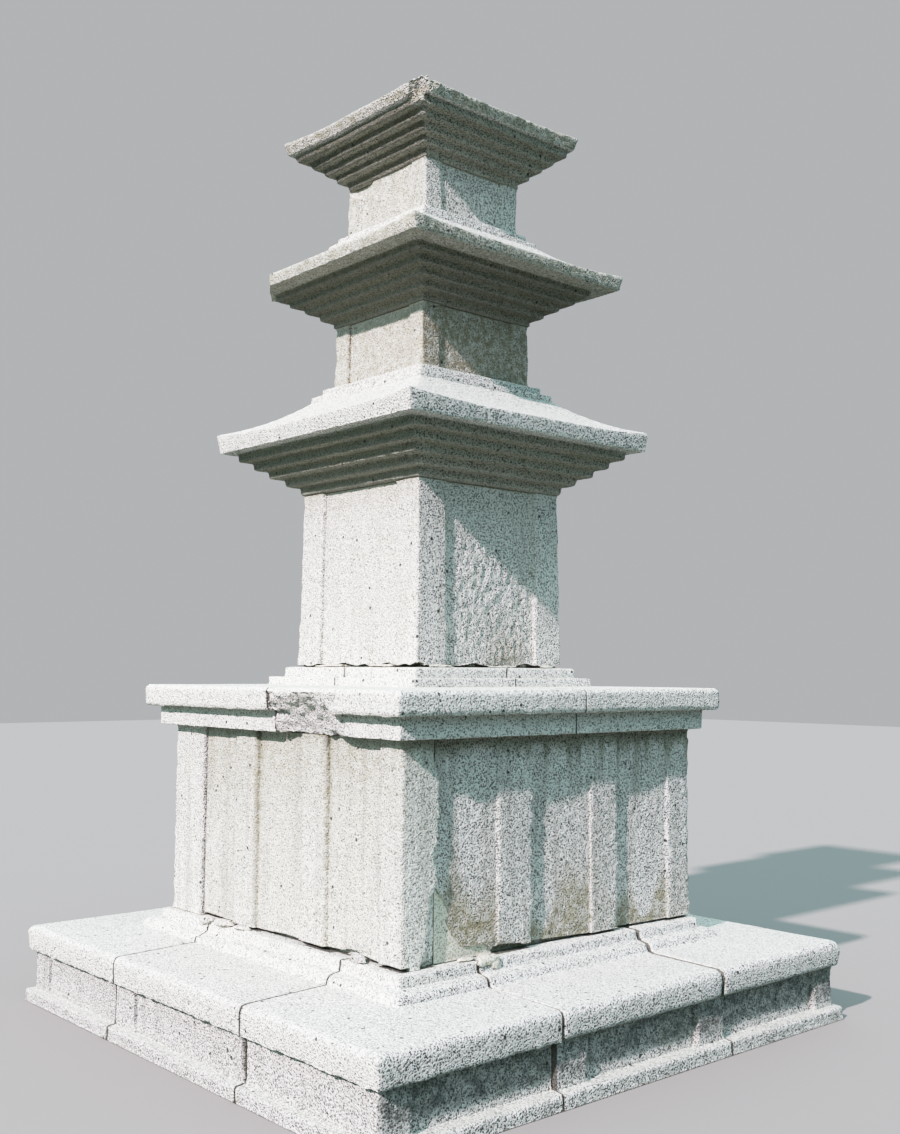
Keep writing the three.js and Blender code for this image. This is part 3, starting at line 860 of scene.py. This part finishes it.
def finish_for(slot):
    """The procedural material of a slot of the record, made once."""
    name = f"weathered {slot.replace('_', ' ')}"
    found = bpy.data.materials.get(name)
    if found:
        return found
    look = FINISHES[slot]
    tone = look["tone"]
    colours = bpy.context.scene.pagoda_colours
    material = bpy.data.materials.new(name)
    material.use_nodes = True
    tree = material.node_tree
    shader = tree.nodes["Principled BSDF"]
    w = Wiring(tree)

    stone = w.attribute("stone")
    shift = w.add("ShaderNodeCombineXYZ", {0: stone, 1: stone, 2: stone}).outputs[0]
    vector = w.vector("ADD", w.add("ShaderNodeTexCoord").outputs["Object"],
                      w.vector("MULTIPLY", shift, STONE_SHIFT))
    tooled = w.times(w.attribute("tooled"), look.get("coarse", 1.0))
    stain_and_painted_shade = w.attribute("stain_and_painted_shade")
    upright = w.add("ShaderNodeSeparateXYZ", {0: w.add("ShaderNodeNewGeometry").outputs["Normal"]}).outputs[2]
    upright = w.remap(w.maths("ABSOLUTE", upright), 0.3, 0.7, 1.0, 0.0)

    def by_tooling(washed, rough):
        return w.remap(tooled, 0.3, 1.0, washed, rough)

    grain = w.group(effect(granite_grain), {"Vector": vector, "Grains per metre": look["grains"],
                                            "Dark share": by_tooling(look["dark"], 1.4 * look["dark"]),
                                            "Grey share": look["grey"]})
    rain = w.group(effect(rain_marks), {"Vector": vector})
    growth = w.group(effect(joint_growth), {"Vector": vector, "Sheltered": w.attribute("sheltered")})
    relief = w.group(effect(pecked_relief), {"Vector": vector})
    # Painted shade in the low pecks and a painted highlight on the high ones, stronger on rough faces.
    hollow = w.times(w.remap(relief["Height"], *PECKING["hollow"], 1.0, 0.0), by_tooling(*PECKING["hollow_shows"]))
    crest = w.times(w.remap(relief["Height"], *PECKING["crest"]), by_tooling(*PECKING["crest_shows"]))

    pale = colours.mortar if slot == "lime_mortar" else colours.pale
    bare = w.blend(w.times(rain["Mottle"], look["mottle"]), tinted(pale, tone), tinted(pale, tone * 0.62))
    bare = w.coats(bare, (
        (w.times(rain["Blotches"], upright, look["warm"]), coat("warm", tone)),
        (w.remap(stone, 0.0, 1.0, 0.0, 0.10), coat("dull")),
        (w.times(grain["Shade"], 0.30), coat("clear")),
        (w.times(grain["Grey"], by_tooling(0.42, 0.55)), tinted(colours.smoke)),
        (w.times(grain["Dark"], by_tooling(*PECKING["flecks_show"])), tinted(colours.fleck)),
        (hollow, coat("hollow")),
        (crest, coat("crest"))))
    tinge = w.blend(w.remap(tooled, 0.35, 0.85), coat("washed tinge"), coat("rough tinge"))
    bare = w.blend(1.0, bare, tinge, "MULTIPLY")

    # The underside colour is partly a real damp bloom with rust and partly painted shade; its hollows carry painted
    # shade and its crests a painted highlight.
    rust = w.times(rain["Blotches"], rain["Mottle"], 0.55)
    damp = w.coats(w.blend(rust, tinted(colours.soot), tinted(colours.rust)), (
        (w.times(rain["Fine blotches"], 0.45), tinted(colours.soot, 0.45)),
        (w.times(grain["Dark"], 0.7), coat("damp grain")),
        (w.times(hollow, 0.8), coat("damp hollow")),
        (w.times(crest, 0.60), coat("damp crest")),
        (w.times(stain_and_painted_shade, 0.75), coat("damp film"))))
    # The film coat: real stains, and painted shade where the mask is painted shade.
    film = w.times(stain_and_painted_shade, w.remap(rain["Fine blotches"], 0.0, 1.0, 0.40, 1.0), 0.85)
    base = w.coats(bare, (
        (film, tinted(look.get("film", COATS["film"]))),
        (w.times(rain["Streaks"], upright, look["streaks"]), coat("streak")),
        # Faces marked as underside get that colour: partly damp, partly painted shade.
        (w.times(w.attribute("underside"), look["soot"], 0.88), damp),
        (w.times(w.attribute("worn"), 0.30), coat("rubbed")),
        (w.times(growth["Lichen"], 0.75 * look["lichen"]), tinted(colours.lichen)),
        (w.times(growth["Soil"], 0.55), coat("soil")),
        # Joint walls facing a neighbour are darkened: partly soil, partly painted shade in the gap.
        (w.remap(w.attribute("jointed"), 0.70, 1.0, 0.0, 0.80), coat("joint")),
        # Painted shade in the pits.
        (w.times(relief["Pits"], 0.75), coat("pit"))))

    tree.links.new(base, shader.inputs["Base Color"])
    tree.links.new(w.remap(grain["Dark"], 0.0, 1.0, 0.93, 0.6), shader.inputs["Roughness"])
    shader.inputs["Specular IOR Level"].default_value = 0.25
    height = w.times(relief["Height"], by_tooling(*PECKING["relief_shows"]))
    bump = w.add("ShaderNodeBump", {"Strength": 1.0, "Distance": look["relief"], "Height": height})
    tree.links.new(bump.outputs[0], shader.inputs["Normal"])
    return material


# ---------------------------------------------------------------- operators

class PAGODA_OT_stage(bpy.types.Operator):
    """Sets the camera, the pale floor and the studio light"""
    bl_idname = "pagoda.stage"
    bl_label = "Camera, floor and light"

    def execute(self, context):
        add_camera()
        add_floor()
        add_lights()
        return {"FINISHED"}


def add_camera():
    yaw, pitch, roll = [math.radians(angle) for angle in EYE_TURN]
    forward = Vector((math.cos(pitch) * math.sin(yaw), math.cos(pitch) * math.cos(yaw), math.sin(pitch)))
    right = Vector((math.cos(yaw), -math.sin(yaw), 0))
    up = right.cross(forward)
    level_right = math.cos(roll) * right + math.sin(roll) * up
    level_up = -math.sin(roll) * right + math.cos(roll) * up
    eye = add_named("camera", bpy.ops.object.camera_add)
    eye.data.sensor_fit = "VERTICAL"
    eye.data.sensor_height = FRAME_HEIGHT
    eye.data.lens = EYE_FOCAL * FRAME_HEIGHT
    turn = Matrix((level_right, level_up, -forward)).transposed().to_4x4()
    eye.matrix_world = Matrix.Translation(EYE_PLACE) @ turn
    bpy.context.scene.camera = eye


def plain_material(name, seen, lit):
    """A matt ground, dimmer to the light that it throws back than to the eye."""
    material = bpy.data.materials.new(name)
    material.use_nodes = True
    shader = material.node_tree.nodes["Principled BSDF"]
    shader.inputs["Roughness"].default_value = 1.0
    shader.inputs["Specular IOR Level"].default_value = 0.0
    w = Wiring(material.node_tree)
    cloudy = w.noise(w.add("ShaderNodeTexCoord").outputs["Object"], 0.8, 3.0, 0.5)
    ground = w.blend(w.times(cloudy, 0.08), tinted(seen), tinted(seen, 0.8))
    eye = w.add("ShaderNodeLightPath").outputs["Is Camera Ray"]
    w.tree.links.new(w.blend(eye, tinted(lit), ground), shader.inputs["Base Color"])
    return material


def add_floor():
    floor = add_named("floor", bpy.ops.mesh.primitive_plane_add, size=60, location=(0, 0, -0.0005))
    settle()
    floor.data.materials.append(plain_material("floor", FLOOR_SEEN, FLOOR_LIT))


def add_lights():
    key = add_named("key", bpy.ops.object.light_add, type="SUN", location=(-3, -2, 6))
    key.data.energy = SUN_STRENGTH
    key.data.angle = math.radians(SUN_WIDTH)
    key.data.color = SUN_COLOUR
    key.rotation_euler = Vector(SUN_FROM).to_track_quat("Z", "Y").to_euler()
    world = bpy.data.worlds.new("studio")
    bpy.context.scene.world = world
    world.use_nodes = True
    w = Wiring(world.node_tree)
    eye = w.add("ShaderNodeLightPath").outputs["Is Camera Ray"]
    direction = w.add("ShaderNodeTexCoord").outputs["Generated"]
    height = w.add("ShaderNodeSeparateXYZ", {0: direction}).outputs[2]
    light = w.blend(w.remap(height, 0.1, 0.9), (*SKY_LOW, 1), (*SKY_HIGH, 1))
    sky = w.remap(height, 0.0, 0.6, *SKY_STRENGTH)
    strength = w.maths("ADD", eye, w.times(sky, w.maths("SUBTRACT", 1.0, eye)))
    ground = world.node_tree.nodes["Background"]
    world.node_tree.links.new(w.blend(eye, light, (*BACKDROP, 1)), ground.inputs[0])
    world.node_tree.links.new(strength, ground.inputs[1])
    view = bpy.context.scene.view_settings
    view.view_transform = "Standard"
    view.use_curve_mapping = True
    film = view.curve_mapping
    film.white_level = (FILM_WHITE,) * 3
    for bright, shown in FILM_CURVE:
        film.curves[3].points.new(bright / FILM_WHITE, shown)
    film.update()


def ring_cells(joints, inner):
    """Limits of the eight stones of a ring: for each, its x span and its y span."""
    fl, fr = joints["front"]
    rf, rb = joints["right"]
    bl, br = joints["back"]
    lf, lb = joints["left"]
    g = RING_GAP
    return {
        "front_left": ((None, fl - g), (None, lf - g)),
        "front": ((fl + g, fr - g), (None, -inner)),
        "front_right": ((fr + g, None), (None, rf - g)),
        "right": ((inner, None), (rf + g, rb - g)),
        "back_right": ((br + g, None), (rb + g, None)),
        "back": ((bl + g, br - g), (inner, None)),
        "back_left": ((None, bl - g), (lb + g, None)),
        "left": ((None, -inner), (lf + g, lb - g)),
    }


def cut_ring(course, kind, cells):
    """Cuts a course into the stones of its ring, and has their neighbours measured against the cuts."""
    ring = {f"{kind}_{name}": trim(copy_of(course, name), x, y) for name, (x, y) in cells.items()}
    CARVED.update((node, surface_of(block.data)) for node, block in ring.items())
    remove(course)
    return ring


def shaded_film(points, normals):
    """Painted shade: a dark grey coat on the front faces of the lower platform above its ledge, under the cap's rim.
    """
    return smoothstep(0.06, 0.13, points[:, 2]) * (normals[:, 1] < -0.3)


class PAGODA_OT_lower_blocks(bpy.types.Operator):
    """Carves the eight blocks of the lower platform with their ledge and pilasters"""
    bl_idname = "pagoda.lower_blocks"
    bl_label = "Lower platform blocks"

    def execute(self, context):
        course = add_course("lower course", LOWER_BLOCK_PROFILE)
        for side in range(4):
            sink_panels(course, side, LOWER_PANELS, 0.009 if side == LEFT else 0.024, foot=0.061)
        for node, block in cut_ring(course, "lower_block", ring_cells(LOWER_BLOCK_JOINTS, LOWER_BLOCK_INNER)).items():
            finish_stone(block, node, "platform_granite", chip=0.9, left=0.7, stain_and_shade_mask=shaded_film)
        return {"FINISHED"}


def seat_wear(points):
    """The worn seat on the left and round the near corner, where the two steps have all but gone."""
    x, y, z = points.T
    on_left = (x < -0.80) & (np.abs(y) < 0.96)
    return on_left * smoothstep(0.82, 0.70, y) * smoothstep(-0.845, -0.875, x) * smoothstep(0.345, 0.36, z) * 0.9


class PAGODA_OT_lower_caps(bpy.types.Operator):
    """Carves the eight cap slabs of the lower platform with the moulded seat on them"""
    bl_idname = "pagoda.lower_caps"
    bl_label = "Lower platform cap"

    def execute(self, context):
        course = add_course("lower cap course", LOWER_CAP_PROFILE)
        for node, block in cut_ring(course, "lower_cap", ring_cells(LOWER_CAP_JOINTS, LOWER_CAP_INNER)).items():
            if node.endswith("left"):
                carve(block, add_lump("worn corner", (-0.915, 0.37, 0.452), (0.075, 0.36, 0.092),
                                      lean=(0, 0, 0.06), rough=0.12, seed=1))
            finish_stone(block, node, "cap_granite", wave=0.7, chip=0.8, peck=0.75, soft=seat_wear, top=0.5, left=0.5)
        return {"FINISHED"}


class PAGODA_OT_fills(bpy.types.Operator):
    """Gives the rubble inside both platforms its finish"""
    bl_idname = "pagoda.fills"
    bl_label = "Rubble fill"

    def execute(self, context):
        for node in ("lower_fill", "upper_fill"):
            mesh = frame["nodes"][node].data
            mesh.materials.clear()
            mesh.materials.append(finish_for("rubble_fill"))
        return {"FINISHED"}


def light_dirt(points, normals):
    """An even, thin film of dirt, as on all the mortar and packing."""
    return np.full(len(points), 0.45)


def foot_stain(points, normals):
    """The brown damp that has crept up the recesses from the foot of a slab."""
    sunk = smoothstep(-0.826, -0.815, points[:, 1]) + 0.35
    reach = 0.16 + 0.10 * np.sin(points[:, 0] * 9.0) + 0.05 * np.sin(points[:, 0] * 31.0)
    height = (points[:, 2] - SLAB_LOW) / np.maximum(reach, 0.03) / 1.6
    return np.clip(sunk * smoothstep(1.0, 0.15, height), 0, 1) * (normals[:, 1] < -0.3)


def worn_foot(points):
    """The rounded feet of the pilasters."""
    return 1 + 1.8 * smoothstep(0.52, 0.44, points[:, 2])


def damp_head(points, normals):
    """Painted shade with damp streaks: a dark band under the cornice on the front faces, reaching lower in streaks,
    and a weaker one along the top of every face.
    """
    x, y, z = points.T
    runs = np.maximum(np.sin(71 * x + 2.0) * np.sin(29 * x), 0) * smoothstep(-0.45, 0.1, x)
    reach = 0.075 + 0.020 * np.sin(19 * x) + 0.16 * runs
    band = smoothstep(1.0, 0.25, (SLAB_TOP - z) / reach) * (normals[:, 1] < -0.3)
    return np.maximum(band, 0.4 * smoothstep(1.225, 1.262, z))


def left_growth(points, normals):
    """The brown growth on the left slab, stronger on its upper half, with dark lines down the panel edges that are
    partly lichen and partly painted shade.
    """
    x, y, z = points.T
    sunk = smoothstep(-0.826, -0.818, x)
    lines = sum(np.exp(-((y - edge) / 0.011) ** 2) for edge in (0.640, 0.149, -0.350))
    face = 0.12 + 0.12 * sunk + 0.36 * smoothstep(0.80, 1.25, z)
    return np.clip(face + 0.75 * lines * (0.45 + 0.55 * smoothstep(0.5, 1.1, z)), 0, 1) * (normals[:, 0] < -0.3)


class PAGODA_OT_upper_slabs(bpy.types.Operator):
    """Carves the four upright slabs of the upper platform, and the mortar patch in the broken one"""
    bl_idname = "pagoda.upper_slabs"
    bl_label = "Upper platform slabs"

    def execute(self, context):
        low, top = SLAB_LOW, SLAB_TOP
        front = add_block("front", (-0.651, -0.830, low), (0.848, -0.655, top))
        sink_panels(front, FRONT, FRONT_PANELS, 0.028, rise=0.016)
        carve(front, add_outline("break", [(x, -0.90, z) for x, z in BREAK_EDGE], (0, 0.205, 0)),
              add_outline("foot gap", [(x, -0.88, z) for x, z in FRONT_FOOT_GAP], (0, 0.095, 0)))
        patch = add_outline("patch", [(x, -0.803, z) for x, z in PATCH_EDGE], (0, 0.111, 0))
        CARVED["mortar_patch"] = surface_of(patch.data)
        CARVED["upper_slab_front"] = surface_of(front.data)
        finish_stone(front, "upper_slab_front", "slab_granite", wave=1.1, chip=1.1, peck=2.0,
                     worn=worn_foot, soffit=damp_head, stain_and_shade_mask=foot_stain)

        right = add_block("right", (0.673, -0.651, low), (0.848, 0.830, top))
        sink_panels(right, RIGHT, PLAIN_PANELS, 0.023)
        finish_stone(right, "upper_slab_right", "slab_granite", peck=1.3)

        back = add_block("back", (-0.830, 0.578, low), (0.669, 0.830, top))
        sink_panels(back, BACK, PLAIN_PANELS, 0.023)
        finish_stone(back, "upper_slab_back", "slab_granite", peck=1.3)

        left = add_block("left", (-0.830, -0.809, low), (-0.655, 0.574, top))
        outline = [(-0.830, -0.830, low), *[(x, -0.830, z) for x, z in STRIP_EDGE], (-0.830, -0.830, top)]
        carve(left, add_outline("end strip", outline, (0, 0.026, 0)), operation="UNION")
        sink_panels(left, LEFT, LEFT_PANELS, 0.017)
        carve(left, add_lump("worn strip foot", (-0.668, -0.852, 0.425), (0.085, 0.060, 0.062),
                             lean=(0, 0.3, 0), rough=0.16, grain=0.5, seed=8),
              add_outline("foot gap", [(-0.88, y, z) for y, z in LEFT_FOOT_GAP], (0.095, 0, 0)))
        finish_stone(left, "upper_slab_left", "slab_granite", wave=0.8, chip=1.0, peck=0.8,
                     worn=worn_foot, soffit=damp_head, stain_and_shade_mask=left_growth, front=0.6)

        finish_stone(patch, "mortar_patch", "lime_mortar", dice=0.008, wave=1.6, chip=0.4, peck=0.3, stain_and_shade_mask=light_dirt)
        return {"FINISHED"}


def cap_plans():
    """Plans of the four cap stones, split along the joints that meet under the tower."""
    reach, gap = 1.0, 0.5 * GAP
    cx, cy = UPPER_CAP_CENTRE
    # Where the joints leave the steps and where they reach the rim
    bend_x, bend_y = -0.527, 0.010
    left_y, right_y, back_x = -0.098, 0.070, -0.020
    return {
        "front_left": [(cx - gap, cy - gap), (cx - gap, -reach), (-reach, -reach), (-reach, left_y - gap),
                       (bend_x, bend_y - gap)],
        "front_right": [(cx + gap, cy - gap), (reach, right_y - gap), (reach, -reach), (cx + gap, -reach)],
        "back_right": [(cx + gap, cy + gap), (back_x + gap, reach), (reach, reach), (reach, right_y + gap)],
        "back_left": [(cx - gap, cy + gap), (bend_x, bend_y + gap), (-reach, left_y + gap), (-reach, reach),
                      (back_x - gap, reach)],
    }


def cap_break(points):
    """Where the upper cap has lost its edge on the left, down to clean rough stone."""
    x, y, z = points.T
    return (x < -0.80) * smoothstep(-0.57, -0.53, y) * smoothstep(-0.04, -0.08, y) * (z > 1.25) * (z < 1.432)


def worn_steps(points):
    """The two steps under the tower have lost more of their arrises than the cap."""
    return 1 + 1.2 * smoothstep(1.450, 1.456, points[:, 2])


class PAGODA_OT_upper_caps(bpy.types.Operator):
    """Carves the four stones of the upper cap with their cornice and steps"""
    bl_idname = "pagoda.upper_caps"
    bl_label = "Upper platform cap"

    def execute(self, context):
        course = add_course("upper cap course", UPPER_CAP_PROFILE)
        stones = {}
        for name, plan in cap_plans().items():
            cell = add_outline("cell", [(x, y, 1.2) for x, y in plan], (0, 0, 0.5))
            stones[f"upper_cap_{name}"] = carve(copy_of(course, name), cell, operation="INTERSECT")
        CARVED.update((node, surface_of(block.data)) for node, block in stones.items())
        for node, block in stones.items():
            if node.endswith("left"):
                carve(block, add_lump("fracture", (-1.303, -0.290, 1.077), (0.52, 0.60, 0.52), lean=(0, 0, 0.02),
                                      rough=0.035, grain=0.22, seed=3, detail=6))
            finish_stone(block, node, "cap_granite", wave=0.5, chip=0.6, worn=worn_steps,
                         broken=cap_break, stain_and_shade_mask=lambda points, normals: 0.18 * cap_break(points), front=0.78)
        remove(course)
        return {"FINISHED"}


def rough_front(points):
    """The gouged panel on the front of the first body, below its smoother head."""
    x, y, z = points.T
    return (y < -0.400) * smoothstep(0.262, 0.235, np.abs(x)) * smoothstep(2.16, 2.06, z)


def ragged_foot(points):
    """The worn lower edge of the first body."""
    return 1 + 1.6 * smoothstep(1.58, 1.54, points[:, 2])


def body_stain(points, normals):
    """A brown tinge, stronger at the foot of the front panels and on the upper two bodies; it is painted shade where
    it darkens the second body's front more than its other faces, and partly painted shadow in the band at the first
    body's head.
    """
    x, y, z = points.T
    foot = smoothstep(1.78, 1.56, z) * (y < -0.39) * smoothstep(0.45, 0.0, np.abs(x - 0.10) / 0.45)
    second = smoothstep(2.5, 2.8, z) * smoothstep(3.4, 3.2, z)
    shaded = normals[:, 1] < -0.3
    head = 0.40 * smoothstep(2.20, 2.33, z) * (z < 2.4) * (1 - shaded)
    third = 0.45 * (z > 3.4) * (1 - shaded)
    return np.clip(0.75 * foot + second * (0.55 + 0.45 * shaded) + third + head + 0.06, 0, 1)


class PAGODA_OT_storey_bodies(bpy.types.Operator):
    """Carves the three storey bodies with their corner pilasters"""
    bl_idname = "pagoda.storey_bodies"
    bl_label = "Storey bodies"

    def execute(self, context):
        for name, foot, head, half, head_half, panel, relief, dice in BODIES:
            body = add_course(name, [(half, foot), (head_half, head)])
            for side in range(4):
                sink_panels(body, side, [(-panel, panel)], relief)
            if name == "body_2":
                carve(body, add_lump("worn side", (-0.335, 0.330, 2.99), (0.026, 0.026, 0.10), rough=0.2, seed=4,
                                     detail=3))
            if name == "body_3":
                carve(body, add_lump("lost head", (-0.288, 0.19, 3.799), (0.034, 0.115, 0.055), rough=0.2, seed=5,
                                     detail=3))
            first = name == "body_1"
            if first:
                carve(body, add_outline("foot gap", [(x, -0.47, z) for x, z in TOWER_FOOT_GAP], (0, 0.075, 0)),
                      add_outline("foot gap", [(-0.47, -y, z) for y, z in TOWER_FOOT_GAP], (0.075, 0, 0)))
            finish_stone(body, name, "body_granite", dice=dice, chip=0.9, stain_and_shade_mask=body_stain,
                         gouge=rough_front if first else None, worn=ragged_foot if first else None)
        return {"FINISHED"}


def crown_profile(roof):
    """Profile of a roof's block from the eave's lower edge up to the foot of its steps."""
    rim = roof["half"] + roof["flare"]
    neck_half = roof["steps"][0][0] + 0.006
    low = roof["eave"] + roof["edge"]
    profile = [(roof["half"], roof["eave"])]
    for i in range(ROOF_RINGS + 1):
        t = i / ROOF_RINGS
        profile.append((rim + (neck_half - rim) * t, low + (roof["neck"] - low) * (0.62 * t + 0.38 * t * t)))
    return profile


def upturn(piece, roof):
    """Lifts the four corners of the eaves, and draws the far left one out by the roof's reach."""
    rim = roof["half"] + roof["flare"]
    neck_half = roof["steps"][0][0] + 0.006
    points = points_of(piece.data)
    x, y = np.abs(points[:, 0]), np.abs(points[:, 1])
    half = np.maximum(x, y)
    t = np.clip((rim - half) / (rim - neck_half), 0, 1)
    along = np.minimum(x, y) / np.maximum(half, 0.01)
    above = np.clip((points[:, 2] - roof["eave"]) / roof["edge"], 0, 1)
    lift = (1 - t) ** 2 * along ** 4 * above
    tip = smoothstep(0.10, 0.50, np.minimum(-points[:, 0], points[:, 1]))
    tip = tip * smoothstep(roof["eave"] - 0.06, roof["eave"], points[:, 2])
    reach = roof.get("reach", 0.0)
    for direction, strength, weights in (("Z", roof["lift"], lift), ("X", -reach, tip), ("Y", reach, tip)):
        if strength:
            weigh(piece, direction, weights, levels=48)
            shape(piece, "DISPLACE", "corner", direction=direction, strength=strength, mid_level=0,
                  vertex_group=direction)


def near_corner_break(points):
    """Where the top roof has lost its near corner."""
    x, y, z = points.T
    return smoothstep(0.165, 0.120, np.hypot(x + 0.52, y + 0.52)) * (z > 3.90)


def soffit_film(points, normals):
    """Painted shade on the middle roof up to above its eave, on the left-facing soffit of the first roof and of the
    top roof, and a darker band on the top roof's upright faces from its eave up that is partly painted shade and
    partly greyer stone.
    """
    z = points[:, 2]
    leftward = smoothstep(0.2, 0.5, -normals[:, 0])
    middle = np.where(z > 3.0, 0.7, 0.6 * leftward * (z < 2.53)) * (z < 3.4)
    rim = 0.85 * (np.abs(normals[:, 2]) < 0.6) * (z >= 3.970)
    return np.maximum(middle, np.maximum(leftward * (z < 3.970), rim) * (z > 3.7))


class PAGODA_OT_roofs(bpy.types.Operator):
    """Carves the three roof stones with their corbels, upturned eaves and top steps"""
    bl_idname = "pagoda.roofs"
    bl_label = "Roof stones"

    def execute(self, context):
        for roof in ROOFS:
            name = roof["name"]
            rise = (roof["eave"] - roof["foot"]) / CORBELS
            corbels = []
            for i in range(CORBELS):
                half = roof["corbel"] + roof["run"] * i
                corbels += [(half, roof["foot"] + rise * i), (half, roof["foot"] + rise * (i + 1))]
            step_profile = []
            low = roof["neck"]
            for half, top in roof["steps"]:
                step_profile += [(half, low), (half, top)]
                low = top
            stone = add_course(name, corbels + crown_profile(roof) + step_profile)
            if name == "roof_2":
                carve(stone, add_outline("lost tip", [(x, y, 3.284) for x, y in LOST_TIP], (0, 0, 0.2)))
            if name == "roof_3":
                carve(stone, add_lump("broken corner", (-0.530, -0.520, 3.945), (0.120, 0.165, 0.135), rough=0.14,
                                      grain=0.6, seed=6))
            eave = roof["eave"]
            top_roof = name == "roof_3"
            finish_stone(stone, name, "roof_granite", dice=roof["dice"], wave=0.8, chip=0.5, peck=0.9,
                         left=0.9 if top_roof else 0.4,
                         soft=lambda points: 0.6 * smoothstep(eave + 0.002, eave - 0.012, points[:, 2]),
                         arrange=lambda piece: upturn(piece, roof),
                         # Everything under a roof's eave gets the underside colour: partly damp, partly painted
                         # shade.
                         soffit=lambda points, normals: smoothstep(eave + 0.004, eave - 0.006, points[:, 2])
                         * (0.86 + 0.14 * smoothstep(0.2, 0.8, -normals[:, 2])),
                         broken=near_corner_break if top_roof else None,
                         stain_and_shade_mask=soffit_film)
        return {"FINISHED"}


# Mortar and stones packed under the slabs: name, finish, and the lumps each is made of (middle, radii)
PACKING = [
    ("seat_mortar", "lime_mortar", [((-0.425, -0.862, 0.428), (0.072, 0.020, 0.026)),
                                    ((-0.392, -0.868, 0.410), (0.034, 0.015, 0.026)),
                                    ((-0.462, -0.866, 0.422), (0.036, 0.015, 0.018)),
                                    ((-0.430, -0.842, 0.440), (0.060, 0.030, 0.013))]),
    ("patch_foot", "lime_mortar", [((-0.512, -0.828, 0.437), (0.055, 0.022, 0.012))]),
    ("left_foot_stones", "rubble_fill", [((-0.848, 0.350, 0.436), (0.036, 0.085, 0.022)),
                                         ((-0.856, 0.480, 0.432), (0.040, 0.060, 0.026)),
                                         ((-0.842, 0.215, 0.434), (0.024, 0.070, 0.015))]),
    ("left_foot_wedge", "cap_granite", [((-0.838, -0.585, 0.442), (0.022, 0.058, 0.036))]),
    ("tower_foot_mortar", "lime_mortar", [((-0.300, -0.436, 1.540), (0.090, 0.014, 0.010)),
                                          ((0.050, -0.438, 1.539), (0.120, 0.012, 0.009)),
                                          ((0.330, -0.436, 1.540), (0.070, 0.014, 0.011)),
                                          ((-0.438, -0.220, 1.541), (0.014, 0.100, 0.011)),
                                          ((-0.436, 0.150, 1.540), (0.013, 0.130, 0.010))]),
]


class PAGODA_OT_joint_rubble(bpy.types.Operator):
    """Lays the mortar and stones packed under the slabs"""
    bl_idname = "pagoda.joint_rubble"
    bl_label = "Mortar and packing stones"

    def execute(self, context):
        for name, slot, lumps in PACKING:
            pieces = [add_lump(f"{name} {i}", middle, radii, lean=(0, 0, 0.1 * i), rough=0.30, grain=0.7, seed=11 + i)
                      for i, (middle, radii) in enumerate(lumps)]
            packing = pieces[0]
            carve(packing, *pieces[1:], operation="UNION")
            finish_stone(packing, None, slot, dice=0.005, wave=0.6, chip=0.4, peck=0.8, top=0.8, left=0.8,
                         stain_and_shade_mask=light_dirt, name=name)
        return {"FINISHED"}


class PAGODA_PT_parts(bpy.types.Panel):
    """Lists the stones of the pagoda and the controls of their wear"""
    bl_label = "Stone pagoda"
    bl_idname = "PAGODA_PT_parts"
    bl_space_type = "VIEW_3D"
    bl_region_type = "UI"
    bl_category = "Pagoda"

    def draw(self, context):
        for group in (context.scene.pagoda_wear, context.scene.pagoda_colours):
            for name in group.__annotations__:
                self.layout.prop(group, name)
        for operator in OPERATORS:
            self.layout.operator(operator.bl_idname)


OPERATORS = (
    PAGODA_OT_stage,
    PAGODA_OT_lower_blocks,
    PAGODA_OT_lower_caps,
    PAGODA_OT_fills,
    PAGODA_OT_upper_slabs,
    PAGODA_OT_upper_caps,
    PAGODA_OT_storey_bodies,
    PAGODA_OT_roofs,
    PAGODA_OT_joint_rubble,
)
CLASSES = (PagodaWear, PagodaColours, *OPERATORS, PAGODA_PT_parts)


def register():
    for cls in CLASSES:
        bpy.utils.register_class(cls)
    bpy.types.Scene.pagoda_wear = PointerProperty(type=PagodaWear)
    bpy.types.Scene.pagoda_colours = PointerProperty(type=PagodaColours)


def unregister():
    del bpy.types.Scene.pagoda_colours
    del bpy.types.Scene.pagoda_wear
    for cls in reversed(CLASSES):
        bpy.utils.unregister_class(cls)


def main():
    register()
    bpy.ops.pagoda.stage()
    bpy.ops.pagoda.lower_blocks()
    bpy.ops.pagoda.lower_caps()
    bpy.ops.pagoda.fills()
    bpy.ops.pagoda.upper_slabs()
    bpy.ops.pagoda.upper_caps()
    bpy.ops.pagoda.storey_bodies()
    bpy.ops.pagoda.roofs()
    bpy.ops.pagoda.joint_rubble()
    for piece in bpy.data.objects:
        if "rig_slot" in piece:
            piece.hide_viewport = False


if __name__ == "__main__":
    main()
